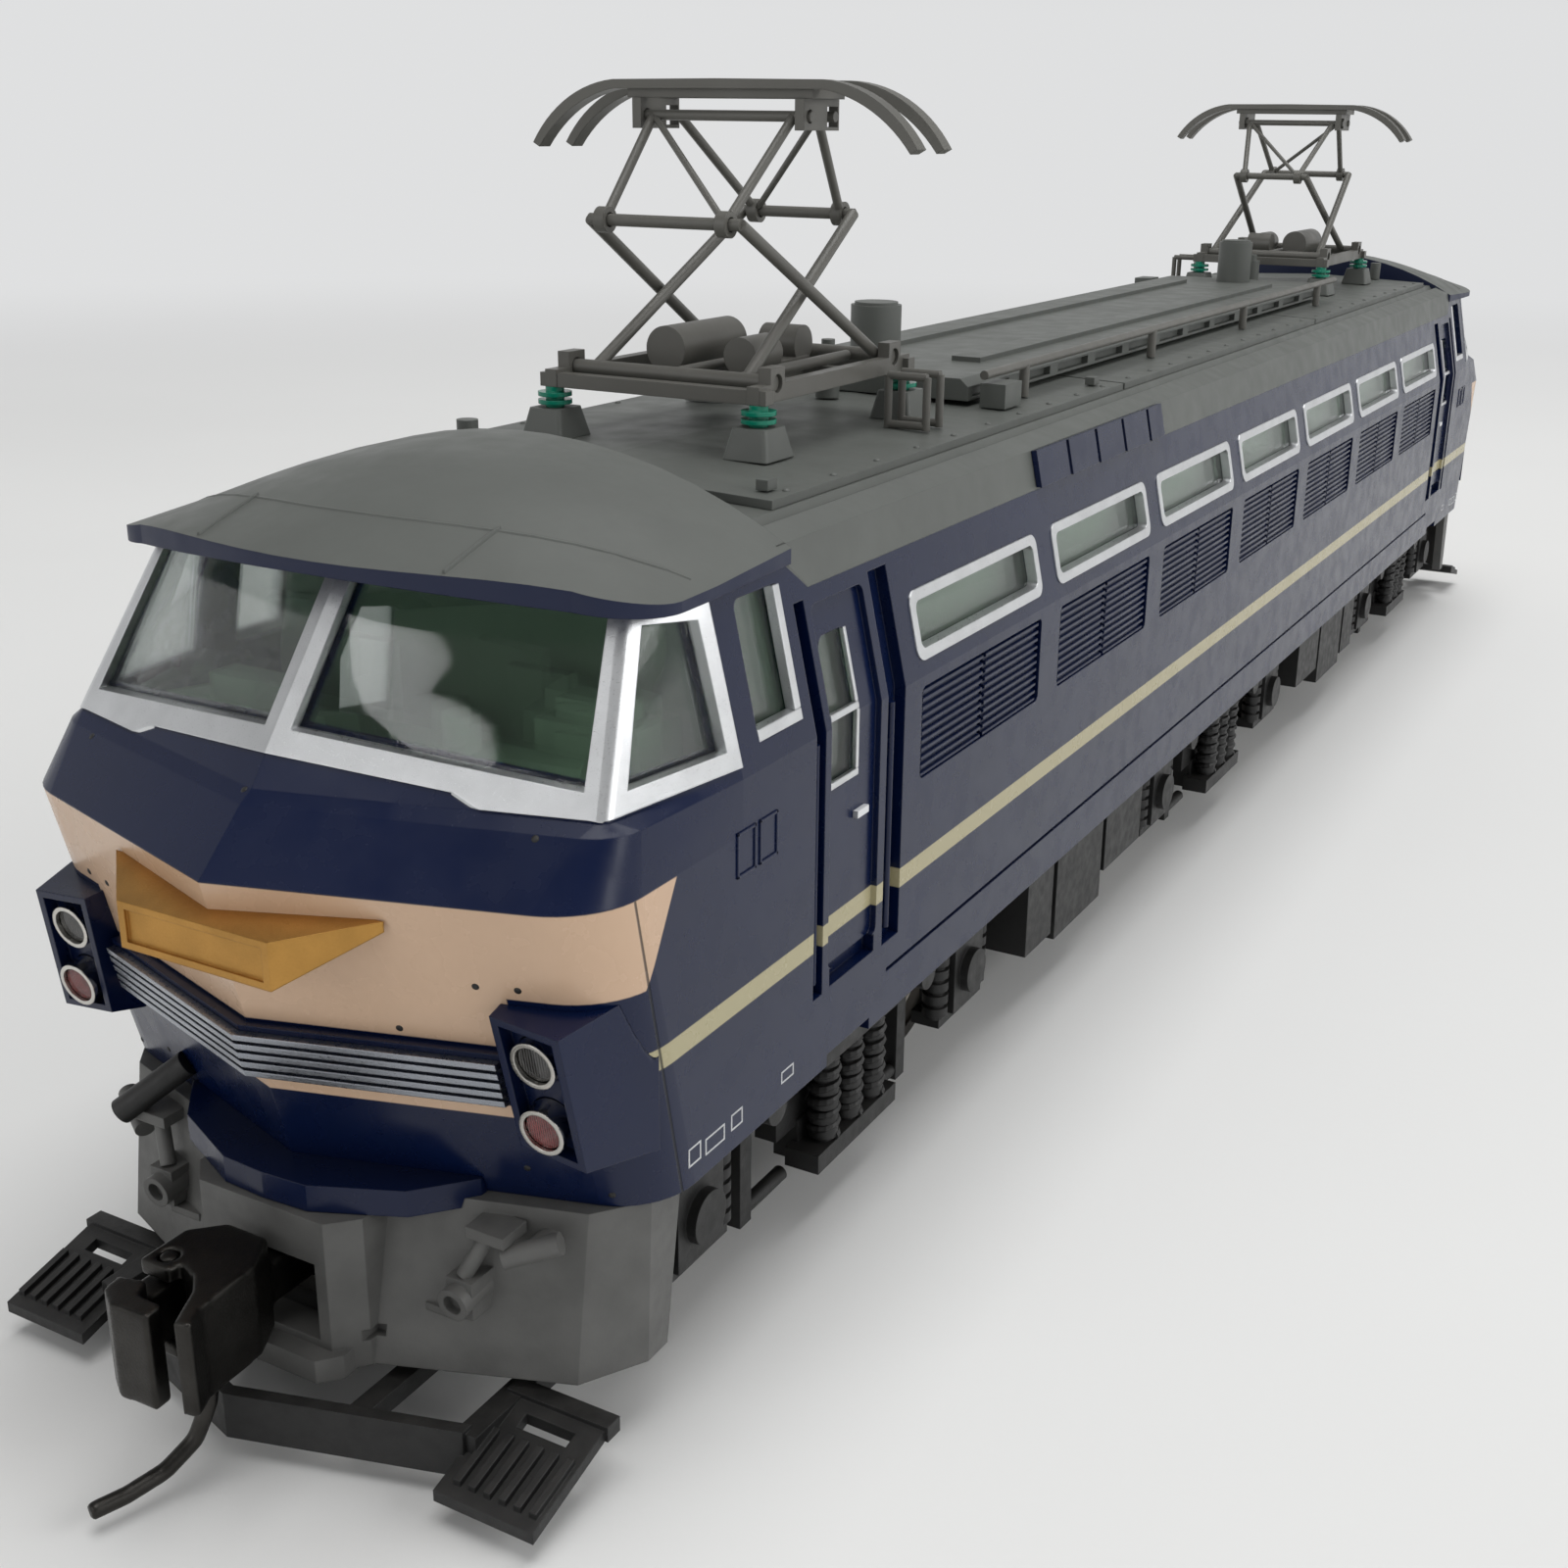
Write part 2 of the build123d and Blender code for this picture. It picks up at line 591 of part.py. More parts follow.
def build_cab_interior():
    """Driver's cab: floor, desk, controller, two seats and the rear wall."""
    floor = box(-16.2, 16.2, -97.0, -84.6, 24.0, 25.2)
    wall = along_y([(-16.1, 25.2), (16.1, 25.2), (16.1, 32.0), (14.4, 39.6), (-14.4, 39.6), (-16.1, 32.0)],
                   -85.6, -84.6)
    desk = along_z([(-13.2, -97.6), (13.2, -97.6), (12.0, -94.8), (-12.0, -94.8)], 25.2, 33.0)
    console = box(8.6, 13.4, -94.8, -91.6, 25.2, 34.6)
    console_top = box(9.4, 12.8, -94.2, -92.2, 34.6, 35.6)
    controller = rod((5.6, -96.4, 33.0), (5.6, -96.4, 34.8), 0.9)
    gauge = box(-9.4, -4.6, -97.2, -95.4, 33.0, 34.6)
    seats = []
    for x in (-7.5, 4.0):
        seats.append(box(x - 1.9, x + 1.9, -91.2, -87.6, 25.2, 29.4))
        seats.append(box(x - 1.9, x + 1.9, -88.4, -87.6, 29.4, 34.6))
    return fuse([floor, wall, desk, console, console_top, controller, gauge] + seats)


def build_machine_room_walls():
    """Pale inner walls seen through the side windows."""
    return sides(box(14.0, 14.5, -83.0, 83.0, 19.2, 38.4))


def build_door_fittings():
    """Hand rails in the side channels, and the door handles."""
    pieces = []
    for y0, y1 in RAIL_CHANNELS:
        y = (y0 + y1) / 2
        rail = rod((HALF_WIDTH - 0.35, y, 18.2), (HALF_WIDTH - 0.35, y, 31.4), 0.22)
        for z in (18.6, 31.0):
            rail = rail + rod((HALF_WIDTH - 0.7, y, z), (HALF_WIDTH - 0.35, y, z), 0.2)
        pieces += sides(rail)
    handle = box(HALF_WIDTH - 0.35, HALF_WIDTH - 0.05, -78.9, -77.6, 26.1, 26.5)
    pieces += sides(handle)
    return pieces


# ================================================================ roof equipment
def build_insulators():
    """Ribbed post insulators under the corners of both pantographs."""
    posts = []
    for x in (-INSULATOR_X, INSULATOR_X):
        for y in (-INSULATOR_Y, INSULATOR_Y):
            post = rod((x, y - PANTO_Y, 44.8), (x, y - PANTO_Y, 46.0), 0.55)
            for z in (45.0, 45.45):
                post = post + rod((x, y - PANTO_Y, z), (x, y - PANTO_Y, z + 0.25), 1.0)
            posts.append(post)
    return ends(posts)


def build_pedestals():
    """Dark tapered feet that carry the insulators."""
    feet = []
    for x in (-INSULATOR_X, INSULATOR_X):
        for y in (-INSULATOR_Y, INSULATOR_Y):
            low = Pos(x, y - PANTO_Y, 42.9) * RectangleRounded(3.0, 3.4, 0.3)
            high = Pos(x, y - PANTO_Y, 44.8) * RectangleRounded(2.2, 2.4, 0.3)
            foot = loft([low, high], ruled=True)
            centre_y = y - PANTO_Y
            roof_z = roof_hatch_z(abs(x) - 1.5)
            feet.append(foot - box(x - 3, x + 3, centre_y - 3, centre_y + 3, 42, roof_z))
    return ends(feet)


def roof_hatch_z(x):
    """Height of the hatch surface at a distance from the centre line."""
    return HATCH_TOP_Z - (HATCH_TOP_Z - 42.8) * x / HATCH_HALF_WIDTH


def build_roof_equipment():
    """Breaker drum, arrester, whistle post and small boxes on the hatches."""
    drum = rod((0, -43.2, DUCT_TOP_Z), (0, -43.2, 48.9), 1.75)
    drum = drum + rod((0, -43.2, 48.9), (0, -43.2, 49.1), 1.5)
    whistle = rod((-7.3, -79.0, 43.1), (-7.3, -79.0, 45.0), 0.6)
    arrester = rod((0, -50.2, 43.4), (0, -50.2, 46.6), 0.8) + rod((0, -50.2, 46.6), (0, -50.2, 47.2), 0.45)
    box_a = box(9.4, 11.2, -46.4, -43.6, 43.0, 44.6)
    lugs = [box(11.2, 11.9, y - 0.5, y + 0.5, 42.95, 43.5) for y in (-78.5, -31.0)]
    return ends([drum, whistle, arrester, box_a] + lugs)


def build_bus_bars():
    """Roof cable from pantograph to pantograph, on small brackets."""
    bar_x, bar_z = 9.9, 45.2
    pieces = [rod((bar_x, -47.0, bar_z), (bar_x, 47.0, bar_z), 0.3)]
    for y in (-40.0, -13.0, 13.0, 40.0):
        pieces.append(rod((bar_x, y, 43.0), (bar_x, y, bar_z), 0.35))
    loops = []
    for y in (-57.3, -55.4):
        loop = [rod((8.0, y, 43.25), (10.6, y, 43.25), 0.25), rod((8.0, y, 46.2), (10.6, y, 46.2), 0.25)]
        loop += [rod((x, y, 43.0), (x, y, 46.2), 0.25) for x in (8.0, 10.6)]
        loops.append(fuse(loop))
    return [fuse(pieces)] + ends(loops)


# ================================================================ pantographs
def at_panto(shape):
    """Move a piece from pantograph coordinates to the front pantograph."""
    return Pos(0, -PANTO_Y, 0) * shape


def build_panto_base():
    """Base frame with bearings, cross members, air cylinder and raising springs."""
    pieces = []
    for side in (1, -1):
        x0, x1 = sorted((6.4 * side, 7.2 * side))
        pieces.append(box(x0, x1, -9.5, 9.5, 46.0, 47.0))
        for y in (-SHAFT_Y, SHAFT_Y):
            pieces.append(box(x0, x1, y - 0.8, y + 0.8, 46.0, 47.9))
    for y in (-9.0, 9.0):
        pieces.append(box(-7.6, 7.6, y - 0.45, y + 0.45, 46.0, 46.8))
    for y in (-3.2, 3.2):
        pieces.append(box(-6.8, 6.8, y - 0.4, y + 0.4, 46.0, 46.7))
    frame = fuse(pieces)
    for y in (-SHAFT_Y, SHAFT_Y):
        frame = frame - rod((-9, y, SHAFT_Z), (9, y, SHAFT_Z), 0.45 + PIN_CLEARANCE)
    cylinder = rod((-2.0, -4.6, 48.0), (-2.0, 2.6, 48.0), 1.35) + box(-2.6, -1.4, -3.6, 3.6, 46.0, 47.2)
    motor = rod((2.6, -3.8, 47.8), (2.6, -0.6, 47.8), 1.1) + box(2.0, 3.2, -3.6, 3.6, 46.0, 47.2)
    gear = rod((0.4, 3.2, 47.9), (3.0, 3.2, 47.9), 1.15)
    springs = []
    for x in (0.0, 4.3):
        springs.append(rod((x, -6.4, 47.0), (x, 6.4, 47.0), 0.33))
    frame = fuse([frame, cylinder, motor, gear] + springs)
    return frame


def lower_arm(shaft_y, elbow_y, base_x, top_x, tube_x):
    """Lower arm: base shaft, two splayed tubes and the elbow tube."""
    shaft = rod((-7.0, shaft_y, SHAFT_Z), (7.0, shaft_y, SHAFT_Z), 0.45)
    parts = [shaft]
    for side in (1, -1):
        parts.append(rod((base_x * side, shaft_y, SHAFT_Z), (top_x * side, elbow_y, ELBOW_Z), 0.36))
    parts.append(rod((-tube_x, elbow_y, ELBOW_Z), (tube_x, elbow_y, ELBOW_Z), 0.34))
    return fuse(parts)


def upper_arm(elbow_y, head_y, eye_x, brace_side):
    """Upper arm: eyes on the elbow tube, two tubes, a diagonal and the head tube."""
    parts = [rod((-HEAD_PIN_X, head_y, HEAD_PIN_Z), (HEAD_PIN_X, head_y, HEAD_PIN_Z), 0.3)]
    eyes = []
    for side in (1, -1):
        x = eye_x * side
        eyes.append(rod((x - 0.35, elbow_y, ELBOW_Z), (x + 0.35, elbow_y, ELBOW_Z), 0.72))
        parts.append(rod((x, elbow_y, ELBOW_Z), (4.7 * side, head_y, HEAD_PIN_Z), 0.28))
    low, high = eye_x * -brace_side, 4.7 * brace_side
    parts.append(rod((low, elbow_y, ELBOW_Z), (high, head_y, HEAD_PIN_Z), 0.2))
    arm = fuse(parts + eyes)
    return arm - rod((-8, elbow_y, ELBOW_Z), (8, elbow_y, ELBOW_Z), 0.34 + PIN_CLEARANCE)


def build_panto_head():
    """Collector head: channel, hinge brackets and two strips with drooping horns."""
    channel = box(-6.2, 6.2, -1.9, 1.9, 62.0, 62.5) - box(-5.7, 5.7, -1.3, 1.3, 61, 63)
    parts = [channel]
    for side in (1, -1):
        x0, x1 = sorted((5.15 * side, 5.75 * side))
        plate = box(x0, x1, -2.1, 2.1, 60.3, 62.0)
        hole_y, slot_y, pin_z = -HEAD_PIN_Y, HEAD_PIN_Y, HEAD_PIN_Z
        plate = plate - rod((x0 - 1, hole_y, pin_z), (x1 + 1, hole_y, pin_z), 0.3 + PIN_CLEARANCE)
        plate = plate - box(x0 - 1, x1 + 1, slot_y - 0.75, slot_y + 0.55, pin_z - 0.55, pin_z + 0.55)
        parts.append(plate)
    outer = Polyline((0, 63.05), (7.0, 63.0))
    outer_arc = ThreePointArc((7.0, 63.0), (10.6, 61.75), (12.9, 59.4))
    tip = Line((12.9, 59.4), (12.45, 59.15))
    inner_arc = ThreePointArc((12.45, 59.15), (10.2, 61.25), (7.0, 62.48))
    inner = Polyline((7.0, 62.48), (0, 62.5), (0, 63.05))
    horn = Plane.XZ * make_face(Curve() + [outer, outer_arc, tip, inner_arc, inner])
    for y in (-1.7, 1.7):
        strip = Pos(0, y + 0.55, 0) * extrude(horn, 1.1)
        parts += sides(strip)
    return fuse(parts)


# ================================================================ running gear
def build_wheelset(axle_y):
    """Two flanged wheels, the axle with its journals, and the drive gear."""
    profile = [
        (WHEEL_BACK_X, 0.0), (WHEEL_BACK_X, FLANGE_RADIUS - 0.25), (WHEEL_BACK_X + 0.25, FLANGE_RADIUS),
        (WHEEL_BACK_X + 0.55, FLANGE_RADIUS - 0.1), (WHEEL_BACK_X + 0.85, TREAD_RADIUS + 0.1),
        (WHEEL_FACE_X, TREAD_RADIUS - 0.1), (WHEEL_FACE_X, TREAD_RADIUS - 0.9),
        (WHEEL_FACE_X - 0.9, TREAD_RADIUS - 1.2), (WHEEL_FACE_X - 0.7, 2.6), (WHEEL_FACE_X, 2.2),
        (WHEEL_FACE_X, 0.0),
    ]
    face = Plane.XY * make_face(Polyline(*profile, close=True))
    wheel = revolve(face, Axis.X)
    pieces = [Pos(0, axle_y, AXLE_Z) * wheel, Pos(0, axle_y, AXLE_Z) * mirror_x(wheel)]
    pieces.append(rod((-7.3, axle_y, AXLE_Z), (7.3, axle_y, AXLE_Z), AXLE_RADIUS))
    pieces.append(rod((-13.0, axle_y, AXLE_Z), (13.0, axle_y, AXLE_Z), JOURNAL_RADIUS))
    pieces.append(rod((-1.4, axle_y, AXLE_Z), (1.4, axle_y, AXLE_Z), 3.6))
    return fuse(pieces)


def axle_box(axle_y):
    """Axle box with its guide, cover and a coil spring on each side."""
    parts = [box(12.4, 14.9, axle_y - 2.2, axle_y + 2.2, 5.3, 10.0)]
    parts.append(rod((14.9, axle_y, AXLE_Z), (15.5, axle_y, AXLE_Z), 1.5))
    parts.append(box(12.4, 14.4, axle_y - 3.4, axle_y + 3.4, 4.6, 5.5))
    for dy in (-3.0, 3.0):
        for z in (5.5, 6.4, 7.3, 8.2, 9.1):
            parts.append(rod((13.9, axle_y + dy, z), (13.9, axle_y + dy, z + 0.6), 0.85))
        parts.append(rod((13.9, axle_y + dy, 5.2), (13.9, axle_y + dy, 10.4), 0.6))
    return parts


def brake_rigging(axle_y, side_y):
    """Brake hanger and shoe beside one wheel."""
    y = axle_y + side_y * 9.3
    shoe_face = axle_y + side_y * (TREAD_RADIUS + 0.85)
    y0, y1 = sorted((shoe_face, y + side_y * 0.3))
    wheel_space = rod((7, axle_y, AXLE_Z), (11, axle_y, AXLE_Z), FLANGE_RADIUS + 0.45)
    shoe = box(8.1, 9.8, y0, y1, 5.4, 9.6) - wheel_space
    h0, h1 = sorted((y - side_y * 0.2, y + side_y * 0.9))
    hanger = box(8.1, 12.6, h0, h1, 8.0, 9.4)
    return [shoe, hanger]


def build_bogie(centre_y, low_boss, pivot_hole):
    """Two-axle bogie frame with side frames, springs, brakes and gear case."""
    parts = [box(-5.5, 5.5, -20.3, 20.3, 3.0, 11.6)]
    parts.append(box(-12.6, 12.6, -5.6, 5.6, 8.8, 11.6))
    for side in (1, -1):
        half_beam = [(0, 9.4), (6.0, 9.4), (12.0, 10.9), (19.8, 8.4), (19.8, 10.9), (13.0, 12.3), (0, 12.3)]
        beam = half_beam + [(-y, z) for y, z in reversed(half_beam[1:-1])]
        side_parts = [along_x(beam, 12.0, 13.4)]
        side_parts.append(box(12.0, 13.4, -6.4, 6.4, 6.0, 9.6))
        side_parts.append(box(13.2, 15.6, -4.6, 4.6, 10.6, 12.3))
        side_parts.append(box(13.2, 15.4, -5.0, 5.0, 3.8, 5.0))
        side_parts.append(box(12.0, 13.6, -4.2, 4.2, 3.8, 6.4))
        for y in (-2.9, 0.0, 2.9):
            for z in (5.25, 6.2, 7.15, 8.1, 9.05, 9.9):
                side_parts.append(rod((14.55, y, z), (14.55, y, z + 0.6), 0.88))
            side_parts.append(rod((14.55, y, 4.9), (14.55, y, 10.8), 0.62))
        side_parts.append(rod((13.3, -9.6, 10.4), (15.3, -9.6, 10.4), 1.0))
        side_parts.append(rod((13.3, 9.6, 10.4), (15.3, 9.6, 10.4), 1.0))
        side_parts.append(rod((14.2, -12.4, 11.2), (14.2, -6.2, 11.2), 0.7))
        side_parts.append(rod((14.2, 6.2, 11.2), (14.2, 12.4, 11.2), 0.7))
        for end in (1, -1):
            y0, y1 = sorted((19.0 * end, 20.0 * end))
            side_parts.append(box(12.0, 13.6, y0, y1, 4.4, 10.6))
            y0, y1 = sorted((9.2 * end, 10.4 * end))
            side_parts.append(box(12.0, 13.4, y0, y1, 2.6, 10.6))
            side_parts.append(rod((12.9, 5.0 * end, 3.2), (12.9, 10.0 * end, 3.2), 0.45))
            for axle in (-HALF_WHEELBASE, HALF_WHEELBASE):
                if (axle > 0) == (end > 0):
                    side_parts += axle_box(axle)
                    side_parts += brake_rigging(axle, -end)
        block = fuse(side_parts)
        parts.append(block if side == 1 else mirror_x(block))
    frame = fuse(parts)
    tools = []
    for axle in (-HALF_WHEELBASE, HALF_WHEELBASE):
        tools.append(rod((-8, axle, AXLE_Z), (8, axle, AXLE_Z), AXLE_RADIUS + RUNNING))
        tools.append(rod((-2.0, axle, AXLE_Z), (2.0, axle, AXLE_Z), 4.2))
        for side in (1, -1):
            inner, outer = (11.5 * side, axle, AXLE_Z), (13.2 * side, axle, AXLE_Z)
            tools.append(rod(inner, outer, JOURNAL_RADIUS + RUNNING))
    frame = cut(frame, tools)
    if low_boss:
        frame = frame + rod((0, 0, 11.5), (0, 0, 18.2), PIVOT_RADIUS) + rod((0, 0, 11.5), (0, 0, 15.9), 5.0)
    if pivot_hole:
        frame = frame - rod((0, 0, 8.6), (0, 0, 13), PIVOT_RADIUS + RUNNING)
    return Pos(0, centre_y, 0) * largest(frame)


def build_rail_guard():
    """Guard plate under the coupler with its arms and the ribbed foot steps."""
    chevron = [(0, -109.6), (11.6, -106.2), (11.6, -105.5), (0, -108.9), (-11.6, -105.5), (-11.6, -106.2)]
    plate = along_z(chevron, 1.2, 3.7)
    parts = [plate]
    for side in (1, -1):
        x0, x1 = sorted((5.5 * side, 6.6 * side))
        parts.append(box(x0, x1, -107.0, -91.0, 2.4, 3.4))
        x0, x1 = sorted((11.0 * side, 12.2 * side))
        parts.append(box(x0, x1, -106.0, -99.6, 2.5, 3.5))
        tread = along_x([(-108.2, 1.3), (-108.2, 1.9), (-102.4, 3.5), (-102.4, 2.9)], 11.4, 17.0)
        ribs = []
        for i in range(6):
            x = 12.1 + i * 0.85
            ribs.append(along_x([(-107.6, 1.6), (-107.6, 2.4), (-104.6, 3.2), (-104.6, 2.4)], x, x + 0.4))
        tread = tread - along_x([(-104.0, 1.0), (-104.0, 5.0), (-103.2, 5.0), (-103.2, 1.0)], 13.0, 15.8)
        lip = box(11.4, 17.2, -102.6, -101.6, 2.9, 3.7)
        step = fuse([tread, lip] + ribs)
        parts.append(step if side == 1 else mirror_x(step))
    parts.append(box(-12.2, 12.2, -100.4, -99.4, 2.4, 3.4))
    return largest(fuse(parts))


def build_chassis():
    """Die-cast frame: floor plate, cheeks and end weights, open over the motor."""
    plate = box(-16.2, 16.2, -95.0, 95.0, 16.0, 19.0)
    parts = [plate]
    for side in (1, -1):
        x0, x1 = sorted((9.6 * side, 13.0 * side))
        parts.append(box(x0, x1, -80.0, 80.0, 19.0, 33.0))
    for end in (1, -1):
        y0, y1 = sorted((48.0 * end, 80.0 * end))
        parts.append(box(-9.8, 9.8, y0, y1, 19.0, 36.0))
    frame = fuse(parts)
    tools = []
    for end in (1, -1):
        y = BOGIE_Y * end
        tools.append(rod((0, y, 15.5), (0, y, 19.5), PIVOT_RADIUS + RUNNING))
        y0, y1 = sorted((47.0 * end, 52.0 * end))
        tools.append(rod((0, y0, MOTOR_Z), (0, y1, MOTOR_Z), 2.4))
    frame = cut(frame, tools)
    guides = [box(-9.0, 9.0, 4.75, 6.0, 13.4, 16.0), box(-9.0, 9.0, -6.0, -4.75, 13.4, 16.0)]
    frame = fuse([frame] + guides)
    return frame


def build_motor():
    """Can motor with end plates and bearings, lying along the locomotive."""
    can = rod((0, -15.5, MOTOR_Z), (0, 15.5, MOTOR_Z), 7.8) & box(-6.6, 6.6, -16, 16, 19.0, 36)
    foot = box(-6.6, 6.6, -12, 12, 19.0, 20.4)
    bearings = [rod((0, end * 15.5, MOTOR_Z), (0, end * 16.6, MOTOR_Z), 3.2) for end in (1, -1)]
    motor = fuse([can, foot] + bearings)
    return motor - rod((0, -20, MOTOR_Z), (0, 20, MOTOR_Z), 1.0 + RUNNING)


def build_rotor():
    """Motor shaft with both flywheels and the drive stubs."""
    shaft = rod((0, -49.5, MOTOR_Z), (0, 49.5, MOTOR_Z), 1.0)
    parts = [shaft]
    for end in (1, -1):
        parts.append(rod((0, 18.5 * end, MOTOR_Z), (0, 27.5 * end, MOTOR_Z), 7.0))
        parts.append(rod((0, 44.0 * end, MOTOR_Z), (0, 49.5 * end, MOTOR_Z), 1.8))
    return fuse(parts)


def build_underfloor():
    """Equipment boxes, air reservoirs and cable trough between the bogies."""
    parts = []
    for side in (1, -1):
        x0, x1 = sorted((10.6 * side, 15.6 * side))
        for y0, y1, low in ((-48.4, -43.6, 5.2), (-42.8, -33.4, 4.4), (-32.6, -24.4, 6.2)):
            parts.append(box(x0, x1, y0, y1, low, 12.6))
            parts.append(box(x0, x1, y0 + 0.4, y1 - 0.4, 12.6, 16.0))
        parts.append(rod((13.0 * side, -43.6, 7.6), (13.0 * side, -42.8, 7.6), 0.5))
        parts.append(rod((13.0 * side, -33.4, 8.4), (13.0 * side, -32.6, 8.4), 0.5))
    block = box(-10.6, 10.6, -47.0, -26.0, 9.0, 16.0)
    return ends([fuse(parts + [block])])


def build_middle_bolster():
    """Slide of the middle bogie: moves sideways under the frame, turns the bogie."""
    slide = box(-6.0, 6.0, -4.6, 4.6, 12.6, 15.9)
    return slide + rod((0, 0, 8.9), (0, 0, 12.6), PIVOT_RADIUS)


# ================================================================ couplers
def build_coupler_pocket():
    """Draft gear box hung from the frame, with the coupler pivot post."""
    y = COUPLER_PIVOT_Y
    shell = box(-3.3, 3.3, -104.2, -99.6, 6.4, 11.0)
    shell = shell - box(-2.7, 2.7, -105, -100.0, COUPLER_Z[0] - 0.1, COUPLER_Z[1] + 0.1)
    post = rod((0, y, 6.6), (0, y, 10.8), COUPLER_POST_RADIUS)
    hanger = box(-3.3, 3.3, -101.4, -99.9, 11.0, 16.0) + box(-3.3, 3.3, -101.4, -95.0, 16.0, 19.0)
    screw = rod((0, y, 6.05), (0, y, 6.5), 0.9)
    return fuse([shell, post, hanger, screw])


def build_coupler():
    """Coupler: shank, head with guard arm, and the curved uncoupling pin."""
    z0, z1 = COUPLER_Z
    y = COUPLER_PIVOT_Y
    shank = box(-1.2, 1.2, -108.2, y, z0, z1)
    eye = rod((0, y, z0), (0, y, z1), 1.25)
    head = along_z([(-1.2, -107.0), (1.2, -107.0), (2.3, -109.0), (2.5, -112.4), (3.1, -113.7), (2.3, -113.9),
                    (1.2, -111.7), (0.4, -110.9), (-0.6, -110.6), (-0.75, -109.3), (-2.7, -109.0),
                    (-2.6, -108.4)], 6.3, 11.2)
    ears = along_z([(-2.7, -109.1), (-0.7, -109.4), (-0.8, -111.2), (-2.7, -111.2)], 6.3, 7.1)
    ears = ears + Pos(0, 0, 4.1) * ears
    body = fuse([shank, eye, head, ears])
    pivot = KNUCKLE_PIVOT
    body = body - rod((pivot[0], pivot[1], 5), (pivot[0], pivot[1], 12), 0.45 + 0.06)
    body = body - rod((0, y, z0 - 1), (0, y, z1 + 1), COUPLER_POST_RADIUS + RUNNING)
    wire = FilletPolyline(*UNCOUPLING_PIN, radius=1.2)
    section = Plane(origin=wire @ 0, z_dir=wire % 0) * Circle(UNCOUPLING_PIN_RADIUS)
    pin = sweep(section, path=wire)
    return body + pin


def build_knuckle():
    """Hinged knuckle with its vertical pin, closed at rest."""
    px, py = KNUCKLE_PIVOT
    outline = [(-1.1, -110.0), (-1.1, -112.2), (-0.6, -113.1), (0.9, -113.2), (1.0, -114.2), (-1.2, -114.3),
               (-2.3, -113.6), (-2.6, -112.4), (-2.6, -109.8)]
    wide = along_z([(x, y) for x, y in outline], 7.35, 10.15)
    nose_block = along_z([(-0.6, -113.1), (0.9, -113.2), (1.0, -114.2), (-1.2, -114.3), (-2.3, -113.6),
                          (-2.5, -112.6), (-1.1, -112.2)], 6.2, 11.2)
    pin = rod((px, py, 6.3), (px, py, 11.2), 0.45)
    return fuse([wide, nose_block, pin])


# ================================================================ write the nodes
def write_body():
    shell = largest(build_body_shell())
    save("body_shell", shell)
    save("windscreen_frames", *ends(build_windscreen_frames()))
    save("cab_glazing", *ends(build_cab_glazing()))
    save("side_window_frames", *build_side_window_frames())
    save("side_glazing", *build_side_glazing())
    save("side_louvres", *build_side_louvres())
    save("cab_interiors", *ends(build_cab_interior()))
    save("machine_room_walls", *build_machine_room_walls())
    save("door_fittings", *ends(build_door_fittings()))
    backing, bars = build_grilles()
    save("lamp_housings", *ends(build_lamp_housings()), *ends(backing))
    save("lamp_bezels", *ends(build_lamp_bezels()))
    save("headlight_lenses", *ends(build_lenses(0, 0.3)))
    save("taillight_lenses", *ends(build_lenses(1, -0.15)))
    save("nameplates", *ends(build_nameplates()))
    save("grille_bars", *ends(bars))
    save("step_shelves", *ends(build_step_shelves()))
    save("skirts", *ends(build_skirt()))
    save("jumper_plugs", *ends(build_jumper_plugs()))


def write_roof():
    save("cab_roofs", *ends(CAB_ROOF))
    save("roof_shell", build_roof_shell())
    save("roof_hatches", *build_roof_hatches())
    save("roof_ducts", *build_roof_ducts())
    save("roof_side_panels", *build_roof_side_panels())
    save("roof_insulators", *build_insulators())
    save("insulator_pedestals", *build_pedestals())
    save("roof_equipment", *build_roof_equipment())
    save("roof_bus_bars", *build_bus_bars())


def write_pantographs():
    pieces = {
        "base": build_panto_base(),
        "lower_arm_a": lower_arm(-SHAFT_Y, ELBOW_Y, 5.1, 3.9, 4.0),
        "lower_arm_b": lower_arm(SHAFT_Y, -ELBOW_Y, 6.0, 4.95, 5.0),
        "upper_arm_a": upper_arm(ELBOW_Y, HEAD_PIN_Y, 3.0, 1),
        "upper_arm_b": upper_arm(-ELBOW_Y, -HEAD_PIN_Y, 4.0, -1),
        "head": build_panto_head(),
    }
    for name, piece in pieces.items():
        front = at_panto(piece)
        save(f"pantograph_{name}_front", front)
        save(f"pantograph_{name}_rear", turned(front))


def write_running_gear():
    save("chassis_frame", build_chassis())
    save("motor", build_motor())
    save("motor_rotor", build_rotor())
    save("underfloor_equipment", *build_underfloor())
    save("middle_bolster", build_middle_bolster())
    end_bogie = build_bogie(-BOGIE_Y, True, False)
    save("bogie_front", end_bogie)
    save("bogie_rear", turned(end_bogie))
    save("bogie_middle", build_bogie(0, False, True))
    guard = build_rail_guard()
    save("rail_guard_front", guard)
    save("rail_guard_rear", turned(guard))
    axles = (-BOGIE_Y - HALF_WHEELBASE, -BOGIE_Y + HALF_WHEELBASE, -HALF_WHEELBASE)
    for number, axle_y in enumerate(axles + tuple(-y for y in reversed(axles)), start=1):
        save(f"wheelset_{number}", build_wheelset(axle_y))
    save("coupler_pockets", *ends(build_coupler_pocket()))
    for name, piece in (("coupler", build_coupler()), ("knuckle", build_knuckle())):
        save(f"{name}_front", piece)
        save(f"{name}_rear", turned(piece))


os.makedirs("parts", exist_ok=True)
write_body()
write_roof()
write_pantographs()
write_running_gear()
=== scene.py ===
import json
import math

import bmesh
import bpy
from mathutils import Matrix, Vector
from mathutils.bvhtree import BVHTree


